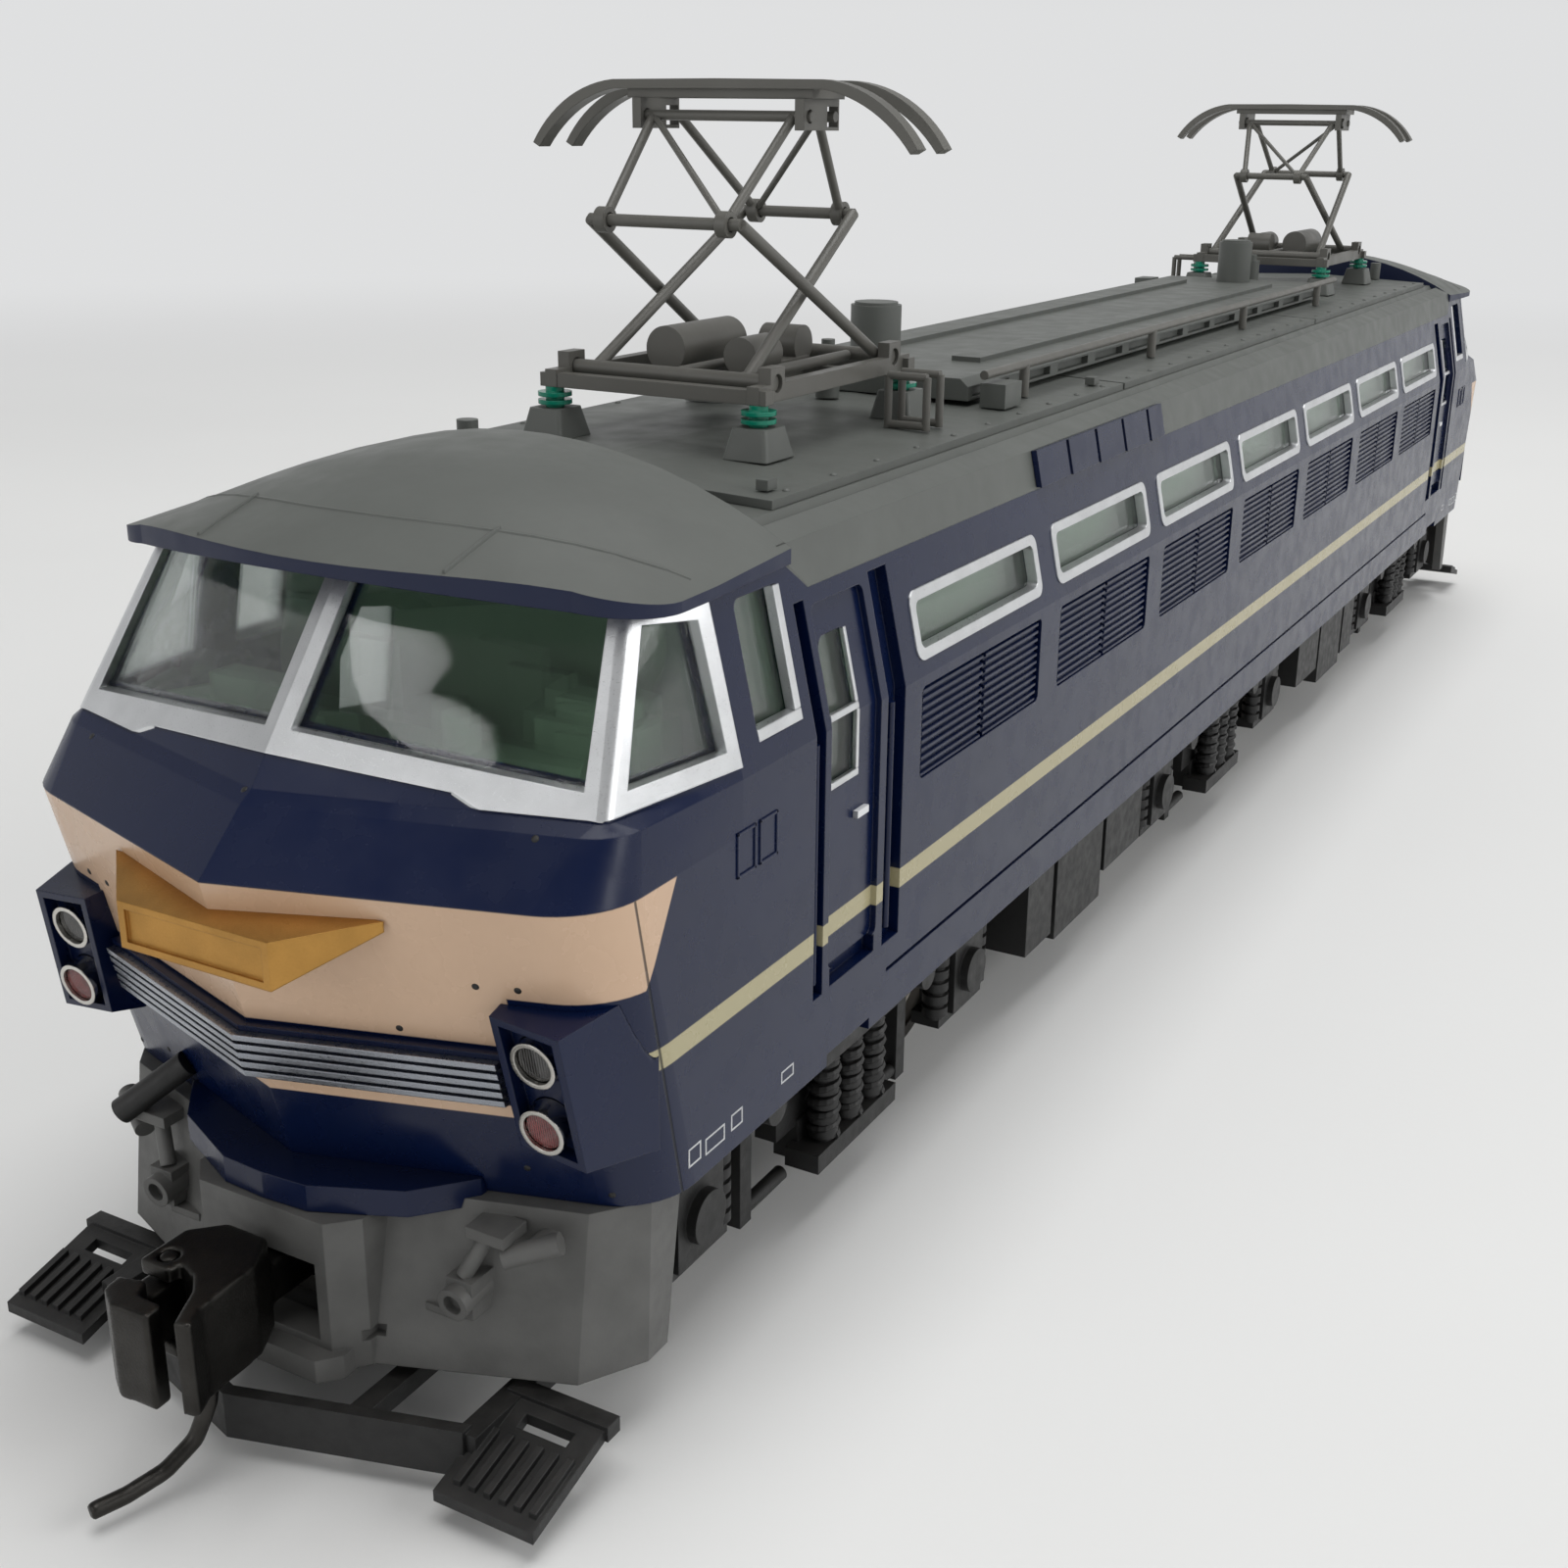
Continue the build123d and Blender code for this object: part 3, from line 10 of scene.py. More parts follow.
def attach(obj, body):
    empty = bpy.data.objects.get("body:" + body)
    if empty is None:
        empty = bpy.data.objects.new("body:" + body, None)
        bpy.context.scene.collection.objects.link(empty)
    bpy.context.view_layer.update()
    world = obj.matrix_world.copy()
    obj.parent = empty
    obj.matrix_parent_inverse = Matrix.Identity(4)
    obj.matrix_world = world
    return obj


# Model electric locomotive.  Positions below are in millimetres in the model's
# frame and are turned into metres where meshes are written.
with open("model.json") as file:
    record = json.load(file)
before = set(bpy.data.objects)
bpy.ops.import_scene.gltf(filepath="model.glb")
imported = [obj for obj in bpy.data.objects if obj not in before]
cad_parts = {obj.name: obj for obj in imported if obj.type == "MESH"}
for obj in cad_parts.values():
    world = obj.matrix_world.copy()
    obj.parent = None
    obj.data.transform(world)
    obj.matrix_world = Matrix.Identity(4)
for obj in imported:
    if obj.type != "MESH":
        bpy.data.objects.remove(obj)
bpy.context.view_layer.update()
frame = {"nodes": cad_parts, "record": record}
MM = 0.001

# ---------------------------------------------------------------- body shape and details, mm
HALF_WIDTH = 17.5
KNEE_Z = 32.0
WALL_LEAN = 0.22
DOOR_FACE_DEPTH = 0.3       # the door lies this far inside the wall
PANE_DEPTH = 0.58           # front of the panes behind the wall surface
CAB_WINDOW_Y, CAB_WINDOW_Z = (-88.95, -84.72), (33.22, 39.85)
CAB_WINDOW_BAR = 0.58
DOOR_WINDOW_Y, DOOR_WINDOW_Z = (-81.48, -78.42), (28.42, 36.35)
DOOR_WINDOW_BAR = 0.28
DOOR_SILL_TOP = 28.8
DOOR_CROSS_BAR = (32.1, 32.45)
BAR_GAP = 0.02              # between bars that meet
BAR_ROUNDING = 0.04
PLATE_STARTS = (-91.5, -89.4)
PLATE_LENGTH, PLATE_Z, PLATE_BAR = 1.75, (27.2, 29.5), 0.16
PLATE_X = (17.4, 17.58)
MARK_LINE = 0.1
MARK_DEPTHS = (-0.015, 0.05)
VISOR_RIDGE_X = 7.3
VISOR_RIDGE_Y = (-99.2, -95.2)
VISOR_CREASE = (-96.4, 0.0195)      # y in the middle, and its curve to the sides
VISOR_CREASE_X = 15.3
RAY_START_Z = 60.0          # above the roof
RIB_SINK = 0.1              # how far a rib reaches into the roof
PIN_HOLE_RINGS = ((0.21, 0.0), (0.14, 0.02))    # radius and rise of each disc
PIN_HOLE_DEPTH = 0.05
HATCH_SPANS = ((-80.4, -28.2), (-27.8, 27.8), (28.2, 80.4))
BOLT_X, BOLT_Z, BOLT_PITCH = 12.3, 42.82, 5.2
BOLT_RADIUS, BOLT_HEIGHT = 0.22, 0.14
BOGIE_CENTRES = (("bogie_front", -73.75), ("bogie_middle", 0.0), ("bogie_rear", 73.75))
SPRING_X, SPRING_OFFSETS = 14.55, (-2.9, 0.0, 2.9)
SPRING_RADIUS, SPRING_WIRE, SPRING_Z, SPRING_TURNS = 0.8, 0.24, (5.25, 10.4), 6
CASTING_GRID = 0.13         # voxel size that rounds the coupler castings
CASTING_ROUNDS = 6
PIN_HOLES = (
    (13.45, -101.5, 31.85), (-0.37, -104.24, 32.2), (11.35, -103.38, 25.15), (13.21, -102.82, 25.18),
    (7.29, -103.84, 22.3), (15.28, -99.04, 13.6), (11.57, -100.56, 14.68),
)
SIDE_MARKS = (
    (-95.9, -94.8, 14.0, 15.0), (-94.4, -92.6, 13.9, 14.8),
    (-92.0, -90.9, 14.0, 14.9), (-87.0, -85.7, 14.2, 14.9),
)

# ---------------------------------------------------------------- paint lines, mm
STRIPE_Z = (20.23, 21.38)
CREASE_Z = 29.25
CREAM_BOTTOM_Z = 21.9
CREAM_SIDE_Z = 24.65
LAMP_INNER_X = 12.6
CREAM_EDGE = (0.532, 112.24)        # |y| + slope * z = constant along the slanting rear edge
LOWER_BAND_Z = (17.75, 18.45)
ROOF_EDGE_Z = (39.1, 40.8)
ROOF_STEP_Y = (82.0, 84.2)
NOSE_SEAM = (96.35, 13.2, 0.2253)   # |y| and z at its foot, and its slope
SEAM_HALF_WIDTH = 0.07
SEAM_INNER_X = 15.0
STRIPE_INNER_X = 12.0
NOSE_BAND_Y = 98.0
WHEEL_RIM_X = 9.7

HANDLE_Y = (77.5, 78.9)
HANDLE_Z = (25.8, 26.8)

NAVY = (0.0016, 0.0068, 0.036)
CREAM = (0.60, 0.42, 0.29)
BEIGE = (0.40, 0.36, 0.22)
ROOF_GREY = (0.105, 0.112, 0.103)
BRIGHT = (0.72, 0.73, 0.74)
SEAM_DARK = (0.002, 0.003, 0.006)

# ---------------------------------------------------------------- studio, m unless noted
CAMERA_PLACE = (0.0584, -0.1605, 0.061)
CAMERA_ANGLES = (-28.77, -19.27, 0.706)     # yaw, pitch and roll in degrees
CAMERA_LENS = 42.49
CAMERA_SHIFT = (-0.0066, -0.0125)
FLOOR_HALF_SIZE = 12.0
FLOOR_FADE = (170, 620)       # mm from the middle
BACKDROP = (0.74, 0.745, 0.75)
OVERHEAD_DIM = 0.3            # strength of the surround overhead, 1 at the horizon
STREAK_DISTANCE = 0.5
STREAK_SIZE = (0.012, 0.14)
STREAK_TOP, STREAK_MIDDLE, STREAK_FOOT = (0.9, -98.6, 39.7), (5.5, -99.4, 37.0), (9.9, -100.2, 34.4)   # mm


# ================================================================ shader graphs
class Graph:
    """A Principled material whose textures read the position in millimetres."""

    def __init__(self, name, rough, metallic=0.0, specular=0.5):
        self.material = bpy.data.materials.new(name)
        self.material.use_nodes = True
        self.tree = self.material.node_tree
        self.tree.nodes.clear()
        output = self.node("OutputMaterial")
        self.shader = self.node("BsdfPrincipled")
        self.link(self.shader.outputs["BSDF"], output.inputs["Surface"])
        self.shader.inputs["Roughness"].default_value = rough
        self.shader.inputs["Metallic"].default_value = metallic
        self.shader.inputs["Specular IOR Level"].default_value = specular
        scale = self.node("VectorMath", operation="SCALE")
        scale.inputs["Scale"].default_value = 1000
        self.link(self.node("TexCoord").outputs["Object"], scale.inputs[0])
        self.mm = scale.outputs[0]
        split = self.node("SeparateXYZ")
        self.link(self.mm, split.inputs[0])
        self.x, self.y, self.z = split.outputs
        self.heights = []

    def node(self, kind, **settings):
        made = self.tree.nodes.new("ShaderNode" + kind)
        for key, value in settings.items():
            setattr(made, key, value)
        return made

    def link(self, source, target):
        self.tree.links.new(source, target)

    def feed(self, value, socket):
        """Link a socket, or set a number or colour."""
        if isinstance(value, bpy.types.NodeSocket):
            self.link(value, socket)
        elif isinstance(value, tuple):
            socket.default_value = (*value, 1.0)
        else:
            socket.default_value = value

    def math(self, operation, first, second=0.0):
        made = self.node("Math", operation=operation)
        self.feed(first, made.inputs[0])
        self.feed(second, made.inputs[1])
        return made.outputs[0]

    def above(self, value, limit, soft=0.035):
        """1 where value is above the limit, 0 below it."""
        made = self.node("MapRange")
        self.feed(self.math("SUBTRACT", value, limit), made.inputs["Value"])
        made.inputs["From Min"].default_value = -soft
        made.inputs["From Max"].default_value = soft
        return made.outputs["Result"]

    def below(self, value, limit, soft=0.035):
        return self.math("SUBTRACT", 1.0, self.above(value, limit, soft))

    def between(self, value, limits, soft=0.035):
        return self.both(self.above(value, limits[0], soft), self.below(value, limits[1], soft))

    def both(self, *masks):
        result = masks[0]
        for mask in masks[1:]:
            result = self.math("MULTIPLY", result, mask)
        return result

    def mix(self, factor, first, second):
        made = self.node("Mix", data_type="RGBA", blend_type="MIX")
        self.feed(factor, made.inputs["Factor"])
        self.feed(first, made.inputs[6])
        self.feed(second, made.inputs[7])
        return made.outputs[2]

    def noise(self, scale, detail=3.0, stretch=None):
        vector = self.mm
        if stretch:
            mapping = self.node("Mapping")
            self.link(self.mm, mapping.inputs["Vector"])
            mapping.inputs["Scale"].default_value = stretch
            vector = mapping.outputs[0]
        made = self.node("TexNoise")
        self.link(vector, made.inputs["Vector"])
        made.inputs["Scale"].default_value = scale
        made.inputs["Detail"].default_value = detail
        return made.outputs["Fac"]

    def spread(self, value, low, high):
        """A 0.3 to 0.7 noise spread over a range."""
        made = self.node("MapRange")
        self.feed(value, made.inputs["Value"])
        made.inputs["From Min"].default_value = 0.3
        made.inputs["From Max"].default_value = 0.7
        made.inputs["To Min"].default_value = low
        made.inputs["To Max"].default_value = high
        return made.outputs["Result"]

    def raise_by(self, height, millimetres):
        self.heights.append((height, millimetres))

    def finish(self, colour, roughness=None, edge=0.09):
        """Colour, roughness, rounded edges and every raised pattern."""
        self.feed(colour, self.shader.inputs["Base Color"])
        if roughness is not None:
            self.feed(roughness, self.shader.inputs["Roughness"])
        bevel = self.node("Bevel", samples=4)
        bevel.inputs["Radius"].default_value = edge * MM
        normal = bevel.outputs[0]
        for height, millimetres in self.heights:
            bump = self.node("Bump")
            bump.inputs["Distance"].default_value = millimetres * MM
            bump.inputs["Strength"].default_value = 1.0
            self.link(height, bump.inputs["Height"])
            self.link(normal, bump.inputs["Normal"])
            normal = bump.outputs[0]
        self.link(normal, self.shader.inputs["Normal"])
        return self.material


def toned(graph, colour, amount, scale=0.12):
    """The colour with soft, large variation from darker to a little lighter."""
    dark = tuple(channel * (1 - amount) for channel in colour)
    light = tuple(min(1.0, channel * (1 + amount * 0.6)) for channel in colour)
    return graph.mix(graph.spread(graph.noise(scale, 4.0), 0.0, 1.0), dark, light)


def facing_up(graph):
    """Height of the surface normal, from -1 facing down to 1 facing up."""
    split = graph.node("SeparateXYZ")
    graph.link(graph.node("NewGeometry").outputs["Normal"], split.inputs[0])
    return split.outputs["Z"]


def painted(name, colour, rough, wear=0.06, peel=0.002, grain=0.001, specular=0.4):
    """Sprayed plastic: slight orange peel, fine grain and uneven gloss."""
    graph = Graph(name, rough, specular=specular)
    graph.raise_by(graph.noise(1.6, 2.0), peel)
    graph.raise_by(graph.noise(14.0, 3.0), grain)
    roughness = graph.spread(graph.noise(0.5, 4.0), rough - 0.05, rough + 0.07)
    return graph.finish(toned(graph, colour, wear), roughness)


def dusty(name, colour, rough, dust=(0.11, 0.10, 0.09), amount=0.35, grain=0.012):
    """Moulded plastic with a sanded grain and dust on what faces up."""
    graph = Graph(name, rough)
    graph.raise_by(graph.noise(6.0, 4.0), grain)
    up = graph.math("MAXIMUM", facing_up(graph), 0.0)
    patches = graph.spread(graph.noise(0.8, 5.0), 0.2, 1.0)
    mask = graph.math("MULTIPLY", graph.math("MULTIPLY", up, patches), amount)
    coloured = graph.mix(mask, toned(graph, colour, 0.18, 0.4), dust)
    return graph.finish(coloured, graph.spread(graph.noise(1.2, 4.0), rough - 0.08, rough + 0.1))


def metal(name, colour, rough, stretch=None, scratch=0.004, tint=0.08):
    """Bare or plated metal with fine lines along its length."""
    graph = Graph(name, rough, metallic=1.0)
    lines = graph.noise(9.0, 4.0, stretch)
    graph.raise_by(lines, scratch)
    return graph.finish(toned(graph, colour, tint, 0.5), graph.spread(lines, rough - 0.08, rough + 0.1))


def visor_paint():
    """Roof grey above, navy on the rim and under the visor."""
    graph = Graph("visor_paint", 0.45, specular=0.4)
    graph.raise_by(graph.noise(5.0, 3.0), 0.002)
    rim = graph.below(facing_up(graph), 0.3, 0.1)
    colour = graph.mix(rim, toned(graph, ROOF_GREY, 0.09), NAVY)
    return graph.finish(colour, graph.spread(graph.noise(0.5, 4.0), 0.38, 0.52))


def rail_paint():
    """Navy hand rails with a bright door handle."""
    graph = Graph("rail_paint", 0.3, specular=0.35)
    graph.raise_by(graph.noise(14.0, 3.0), 0.0015)
    along = graph.math("ABSOLUTE", graph.y)
    handle = graph.both(graph.between(along, HANDLE_Y), graph.between(graph.z, HANDLE_Z))
    colour = graph.mix(handle, toned(graph, NAVY, 0.1), BRIGHT)
    return graph.finish(colour, graph.spread(graph.noise(0.5), 0.24, 0.36))


def body_paint():
    """Navy body with the cream nose, the stripe, the roof edge and the nose seam."""
    graph = Graph("body_paint", 0.3, specular=0.35)
    across = graph.math("ABSOLUTE", graph.x)
    along = graph.math("ABSOLUTE", graph.y)
    z = graph.z
    slant = graph.math("ADD", along, graph.math("MULTIPLY", z, CREAM_EDGE[0]))
    between_lamps = graph.below(across, LAMP_INNER_X)
    low_edge = graph.math(
        "MAXIMUM",
        graph.above(z, CREAM_SIDE_Z),
        graph.both(graph.above(z, CREAM_BOTTOM_Z), between_lamps),
    )
    cream = graph.both(graph.above(slant, CREAM_EDGE[1]), graph.below(z, CREASE_Z), low_edge)
    band = graph.both(graph.between(z, LOWER_BAND_Z), between_lamps, graph.above(along, NOSE_BAND_Y))
    stripe = graph.both(graph.between(z, STRIPE_Z), graph.above(across, STRIPE_INNER_X))
    step = graph.node("MapRange")
    graph.link(along, step.inputs["Value"])
    step.inputs["From Min"].default_value, step.inputs["From Max"].default_value = ROOF_STEP_Y
    step.inputs["To Min"].default_value, step.inputs["To Max"].default_value = ROOF_EDGE_Z
    roof = graph.above(graph.math("SUBTRACT", z, step.outputs["Result"]), 0.0)
    foot_y, foot_z, slope = NOSE_SEAM
    rise = graph.math("MULTIPLY", graph.math("SUBTRACT", z, foot_z), slope)
    offset = graph.math("ABSOLUTE", graph.math("SUBTRACT", graph.math("SUBTRACT", along, foot_y), rise))
    on_line = graph.below(offset, SEAM_HALF_WIDTH, 0.03)
    seam = graph.both(on_line, graph.below(z, CREASE_Z), graph.above(across, SEAM_INNER_X))
    colour = toned(graph, NAVY, 0.1)
    colour = graph.mix(stripe, colour, BEIGE)
    colour = graph.mix(graph.math("MAXIMUM", cream, band), colour, toned(graph, CREAM, 0.05))
    colour = graph.mix(roof, colour, toned(graph, ROOF_GREY, 0.08))
    colour = graph.mix(graph.math("MULTIPLY", seam, 0.8), colour, SEAM_DARK)
    graph.raise_by(graph.math("MULTIPLY", seam, -1.0), 0.06)
    graph.raise_by(graph.noise(0.9, 0.0), 0.0012)
    graph.raise_by(graph.noise(14.0, 3.0), 0.0006)
    gloss = graph.spread(graph.noise(0.5, 4.0), 0.2, 0.32)
    matt = graph.spread(graph.noise(0.5, 4.0), 0.42, 0.54)
    return graph.finish(colour, graph.mix(roof, gloss, matt))


def clear_pane():
    """Clear plastic glazing with faint ripples and a greenish tint."""
    graph = Graph("clear_pane", 0.04)
    graph.shader.inputs["Transmission Weight"].default_value = 1.0
    graph.shader.inputs["IOR"].default_value = 1.45
    graph.shader.inputs["Alpha"].default_value = 0.55
    graph.raise_by(graph.noise(0.25, 1.0), 0.0015)
    tint = graph.mix(graph.noise(0.3, 2.0), (0.80, 0.88, 0.84), (0.90, 0.96, 0.93))
    return graph.finish(tint, graph.spread(graph.noise(2.0, 3.0), 0.01, 0.03), edge=0.0)


def lens(name, colour, rings):
    """Moulded lamp lens with fine prisms across it."""
    graph = Graph(name, 0.08, specular=0.7)
    graph.shader.inputs["Coat Weight"].default_value = 0.8
    graph.shader.inputs["Coat Roughness"].default_value = 0.03
    wave = graph.node("TexWave", bands_direction="X")
    graph.link(graph.mm, wave.inputs["Vector"])
    wave.inputs["Scale"].default_value = rings
    graph.raise_by(wave.outputs["Fac"], 0.05)
    return graph.finish(toned(graph, colour, 0.35, 1.2), graph.spread(graph.noise(3.0), 0.05, 0.14))


def wheel_steel():
    """Turned wheel: lathe rings, brighter tread and a dark oiled face."""
    graph = Graph("wheel_steel", 0.35, metallic=1.0)
    lines = graph.noise(8.0, 4.0, (3.0, 0.2, 0.2))
    graph.raise_by(lines, 0.006)
    across = graph.math("ABSOLUTE", graph.x)
    face = graph.above(across, WHEEL_RIM_X, 0.15)
    colour = graph.mix(face, toned(graph, (0.34, 0.32, 0.29), 0.2, 0.6), (0.05, 0.045, 0.04))
    return graph.finish(colour, graph.spread(lines, 0.28, 0.5))


MATERIALS = {
    "navy_body": body_paint(),
    "roof_grey": painted("roof_paint", ROOF_GREY, 0.45, 0.09),
    "bright_frame": metal("bright_frame", BRIGHT, 0.34, (1.0, 0.3, 6.0)),
    "clear_pane": clear_pane(),
    "chrome_trim": metal("chrome_trim", (0.62, 0.60, 0.56), 0.14, (0.4, 0.4, 5.0), 0.002),
    "lamp_glass": lens("lamp_glass", (0.012, 0.012, 0.012), 2.2),
    "red_lens": lens("red_lens", (0.16, 0.002, 0.004), 2.6),
    "gold_plate": metal("gold_plate", (0.47, 0.255, 0.07), 0.42, None, 0.008, 0.14),
    "grey_skirt": dusty("grey_skirt", (0.10, 0.10, 0.096), 0.5, (0.15, 0.145, 0.135), 0.3, 0.006),
    "black_plastic": dusty("black_plastic", (0.008, 0.008, 0.008), 0.5, (0.05, 0.047, 0.043)),
    "pale_green": painted("pale_green", (0.16, 0.26, 0.17), 0.5, 0.1),
    "green_insulator": painted("green_insulator", (0.004, 0.21, 0.13), 0.16, 0.12),
    "panto_grey": painted("panto_grey", (0.115, 0.112, 0.10), 0.38, 0.12, 0.006),
    "diecast": metal("diecast", (0.22, 0.22, 0.22), 0.55, None, 0.02),
    "black_metal": metal("black_metal", (0.045, 0.043, 0.04), 0.36, None, 0.01, 0.25),
    "wheel_steel": wheel_steel(),
    "motor_steel": metal("motor_steel", (0.5, 0.5, 0.5), 0.3, (0.3, 4.0, 4.0)),
}

navy_plain = painted("navy_plain", NAVY, 0.28, 0.1, 0.0012, 0.0006, 0.35)
NODE_MATERIALS = {
    "lamp_housings": navy_plain,
    "step_shelves": navy_plain,
    "side_louvres": navy_plain,
    "roof_side_panels": navy_plain,
    "door_fittings": rail_paint(),
    "cab_roofs": visor_paint(),
    "grille_bars": metal("grille_metal", (0.36, 0.38, 0.42), 0.3, (0.4, 0.4, 5.0), 0.002),
    "insulator_pedestals": MATERIALS["roof_grey"],
}

slots = {part["node"]: part["material_slot"] for part in frame["record"]["subparts"]}
for node_name, node_object in frame["nodes"].items():
    mesh = node_object.data
    mesh.materials.clear()
    mesh.materials.append(NODE_MATERIALS.get(node_name, MATERIALS[slots[node_name]]))


def round_casting(node_name):
    """Rounded edges of a small metal casting, as real geometry."""
    node_object = frame["nodes"][node_name]
    remesh = node_object.modifiers.new("grid", "REMESH")
    remesh.mode = "VOXEL"
    remesh.voxel_size = CASTING_GRID * MM
    remesh.use_smooth_shade = True
    smooth = node_object.modifiers.new("soften", "SMOOTH")
    smooth.factor = 0.6
    smooth.iterations = CASTING_ROUNDS


for end in ("front", "rear"):
    round_casting(f"coupler_{end}")
    round_casting(f"knuckle_{end}")


# ================================================================ pieces
def add_piece(name, mesh_data, slot_name, body="body"):
    """A finished mesh, in millimetres, as a piece that rides on a body."""
    bmesh.ops.scale(mesh_data, vec=(MM, MM, MM), verts=mesh_data.verts)
    mesh = bpy.data.meshes.new(name)
    mesh_data.to_mesh(mesh)
    mesh_data.free()
    mesh.materials.append(MATERIALS[slot_name])
    piece = bpy.data.objects.new(name, mesh)
    bpy.context.scene.collection.objects.link(piece)
    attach(piece, body)


def block(mesh_data, low, high):
    """Box between two corners with its edges a little rounded."""
    size = Vector(high) - Vector(low)
    middle = (Vector(high) + Vector(low)) / 2
    matrix = Matrix.Translation(middle) @ Matrix.Diagonal((*size, 1.0))
    made = bmesh.ops.create_cube(mesh_data, size=1.0, matrix=matrix)
    edges = {edge for vert in made["verts"] for edge in vert.link_edges}
    radius = 0.18 * min(size)
    bmesh.ops.bevel(mesh_data, geom=list(edges), offset=radius, segments=2, affect="EDGES", profile=0.5)


def doubled(mesh_data):
    """Copies everything in place and gives the copy's points and faces."""
    everything = mesh_data.verts[:] + mesh_data.edges[:] + mesh_data.faces[:]
    copy = bmesh.ops.duplicate(mesh_data, geom=everything)["geom"]
    verts = [item for item in copy if isinstance(item, bmesh.types.BMVert)]
    faces = [item for item in copy if isinstance(item, bmesh.types.BMFace)]
    return verts, faces


def turned_round(mesh_data):
    """Adds a copy of everything, turned half a turn about Z."""
    verts, _ = doubled(mesh_data)
    bmesh.ops.rotate(mesh_data, cent=(0, 0, 0), matrix=Matrix.Rotation(math.pi, 3, "Z"), verts=verts)


def stud(mesh_data, centre, normal, radius, height):
    """Round-headed bolt standing on a surface."""
    turn = Vector((0, 0, 1)).rotation_difference(Vector(normal).normalized()).to_matrix().to_4x4()
    matrix = Matrix.Translation(centre) @ turn @ Matrix.Diagonal((1.0, 1.0, height / radius, 1.0))
    bmesh.ops.create_uvsphere(mesh_data, u_segments=10, v_segments=6, radius=radius, matrix=matrix)


def add_side_plates():
    """Two small framed plates on each cab side."""
    mesh_data = bmesh.new()
    low_z, high_z = PLATE_Z
    for side in (1, -1):
        inner, outer = sorted(x * side for x in PLATE_X)
        for start in PLATE_STARTS:
            stop = start + PLATE_LENGTH
            for y0, y1, z0, z1 in (
                (start, stop, low_z, low_z + PLATE_BAR), (start, stop, high_z - PLATE_BAR, high_z),
                (start, start + PLATE_BAR, low_z, high_z), (stop - PLATE_BAR, stop, low_z, high_z),
            ):
                block(mesh_data, (inner, y0, z0), (outer, y1, z1))
    turned_round(mesh_data)
    add_piece("side_plates", mesh_data, "navy_body")


def wall_x(z):
    """Half width of the body at a height."""
    return HALF_WIDTH - max(0.0, z - KNEE_Z) * WALL_LEAN


def wall_bar(mesh_data, y0, y1, z0, z1, outer, inner):
    """Flat bar lying in the side wall, between two depths below its surface."""
    heights = [z0, KNEE_Z, z1] if z0 < KNEE_Z < z1 else [z0, z1]
    rings = []
    for z in heights:
        corners = ((outer, y0), (outer, y1), (inner, y1), (inner, y0))
        rings.append([mesh_data.verts.new((wall_x(z) - depth, y, z)) for depth, y in corners])
    for low_ring, high_ring in zip(rings, rings[1:]):
        for k in range(4):
            after = (k + 1) % 4
            mesh_data.faces.new((low_ring[k], low_ring[after], high_ring[after], high_ring[k]))
    mesh_data.faces.new(rings[0][::-1])
    mesh_data.faces.new(rings[-1])


def mirrored(mesh_data):
    """Adds a copy of everything on the other side."""
    verts, faces = doubled(mesh_data)
    bmesh.ops.scale(mesh_data, vec=(-1, 1, 1), verts=verts)
    bmesh.ops.reverse_faces(mesh_data, faces=faces)


def add_cab_window_frames():
    """Bright edging of the cab side windows and the door windows."""
    mesh_data = bmesh.new()
    y0, y1 = CAB_WINDOW_Y
    z0, z1 = CAB_WINDOW_Z
    depths = (-0.04, 0.55)
    wall_bar(mesh_data, y0, y1, z0, z0 + CAB_WINDOW_BAR, *depths)
    wall_bar(mesh_data, y1 - CAB_WINDOW_BAR, y1, z0 + CAB_WINDOW_BAR + BAR_GAP, z1, *depths)
    y0, y1 = DOOR_WINDOW_Y
    z0, z1 = DOOR_WINDOW_Z
    bar_low, bar_high = DOOR_CROSS_BAR
    depths = (DOOR_FACE_DEPTH, PANE_DEPTH)
    wall_bar(mesh_data, y0, y1, z0, DOOR_SILL_TOP, *depths)
    wall_bar(mesh_data, y0, y1, bar_low, bar_high, *depths)
    wall_bar(mesh_data, y1 - DOOR_WINDOW_BAR, y1, DOOR_SILL_TOP + BAR_GAP, bar_low - BAR_GAP, *depths)
    wall_bar(mesh_data, y1 - DOOR_WINDOW_BAR, y1, bar_high + BAR_GAP, z1, *depths)
    edges = mesh_data.edges[:]
    bmesh.ops.bevel(mesh_data, geom=edges, offset=BAR_ROUNDING, segments=2, affect="EDGES", profile=0.5)
    mirrored(mesh_data)
    turned_round(mesh_data)
    add_piece("cab_window_frames", mesh_data, "bright_frame")


def surface(node_name):
    """Search tree of a CAD node, in millimetres."""
    mesh = frame["nodes"][node_name].data
    corners = [vertex.co / MM for vertex in mesh.vertices]
    return BVHTree.FromPolygons(corners, [polygon.vertices for polygon in mesh.polygons])


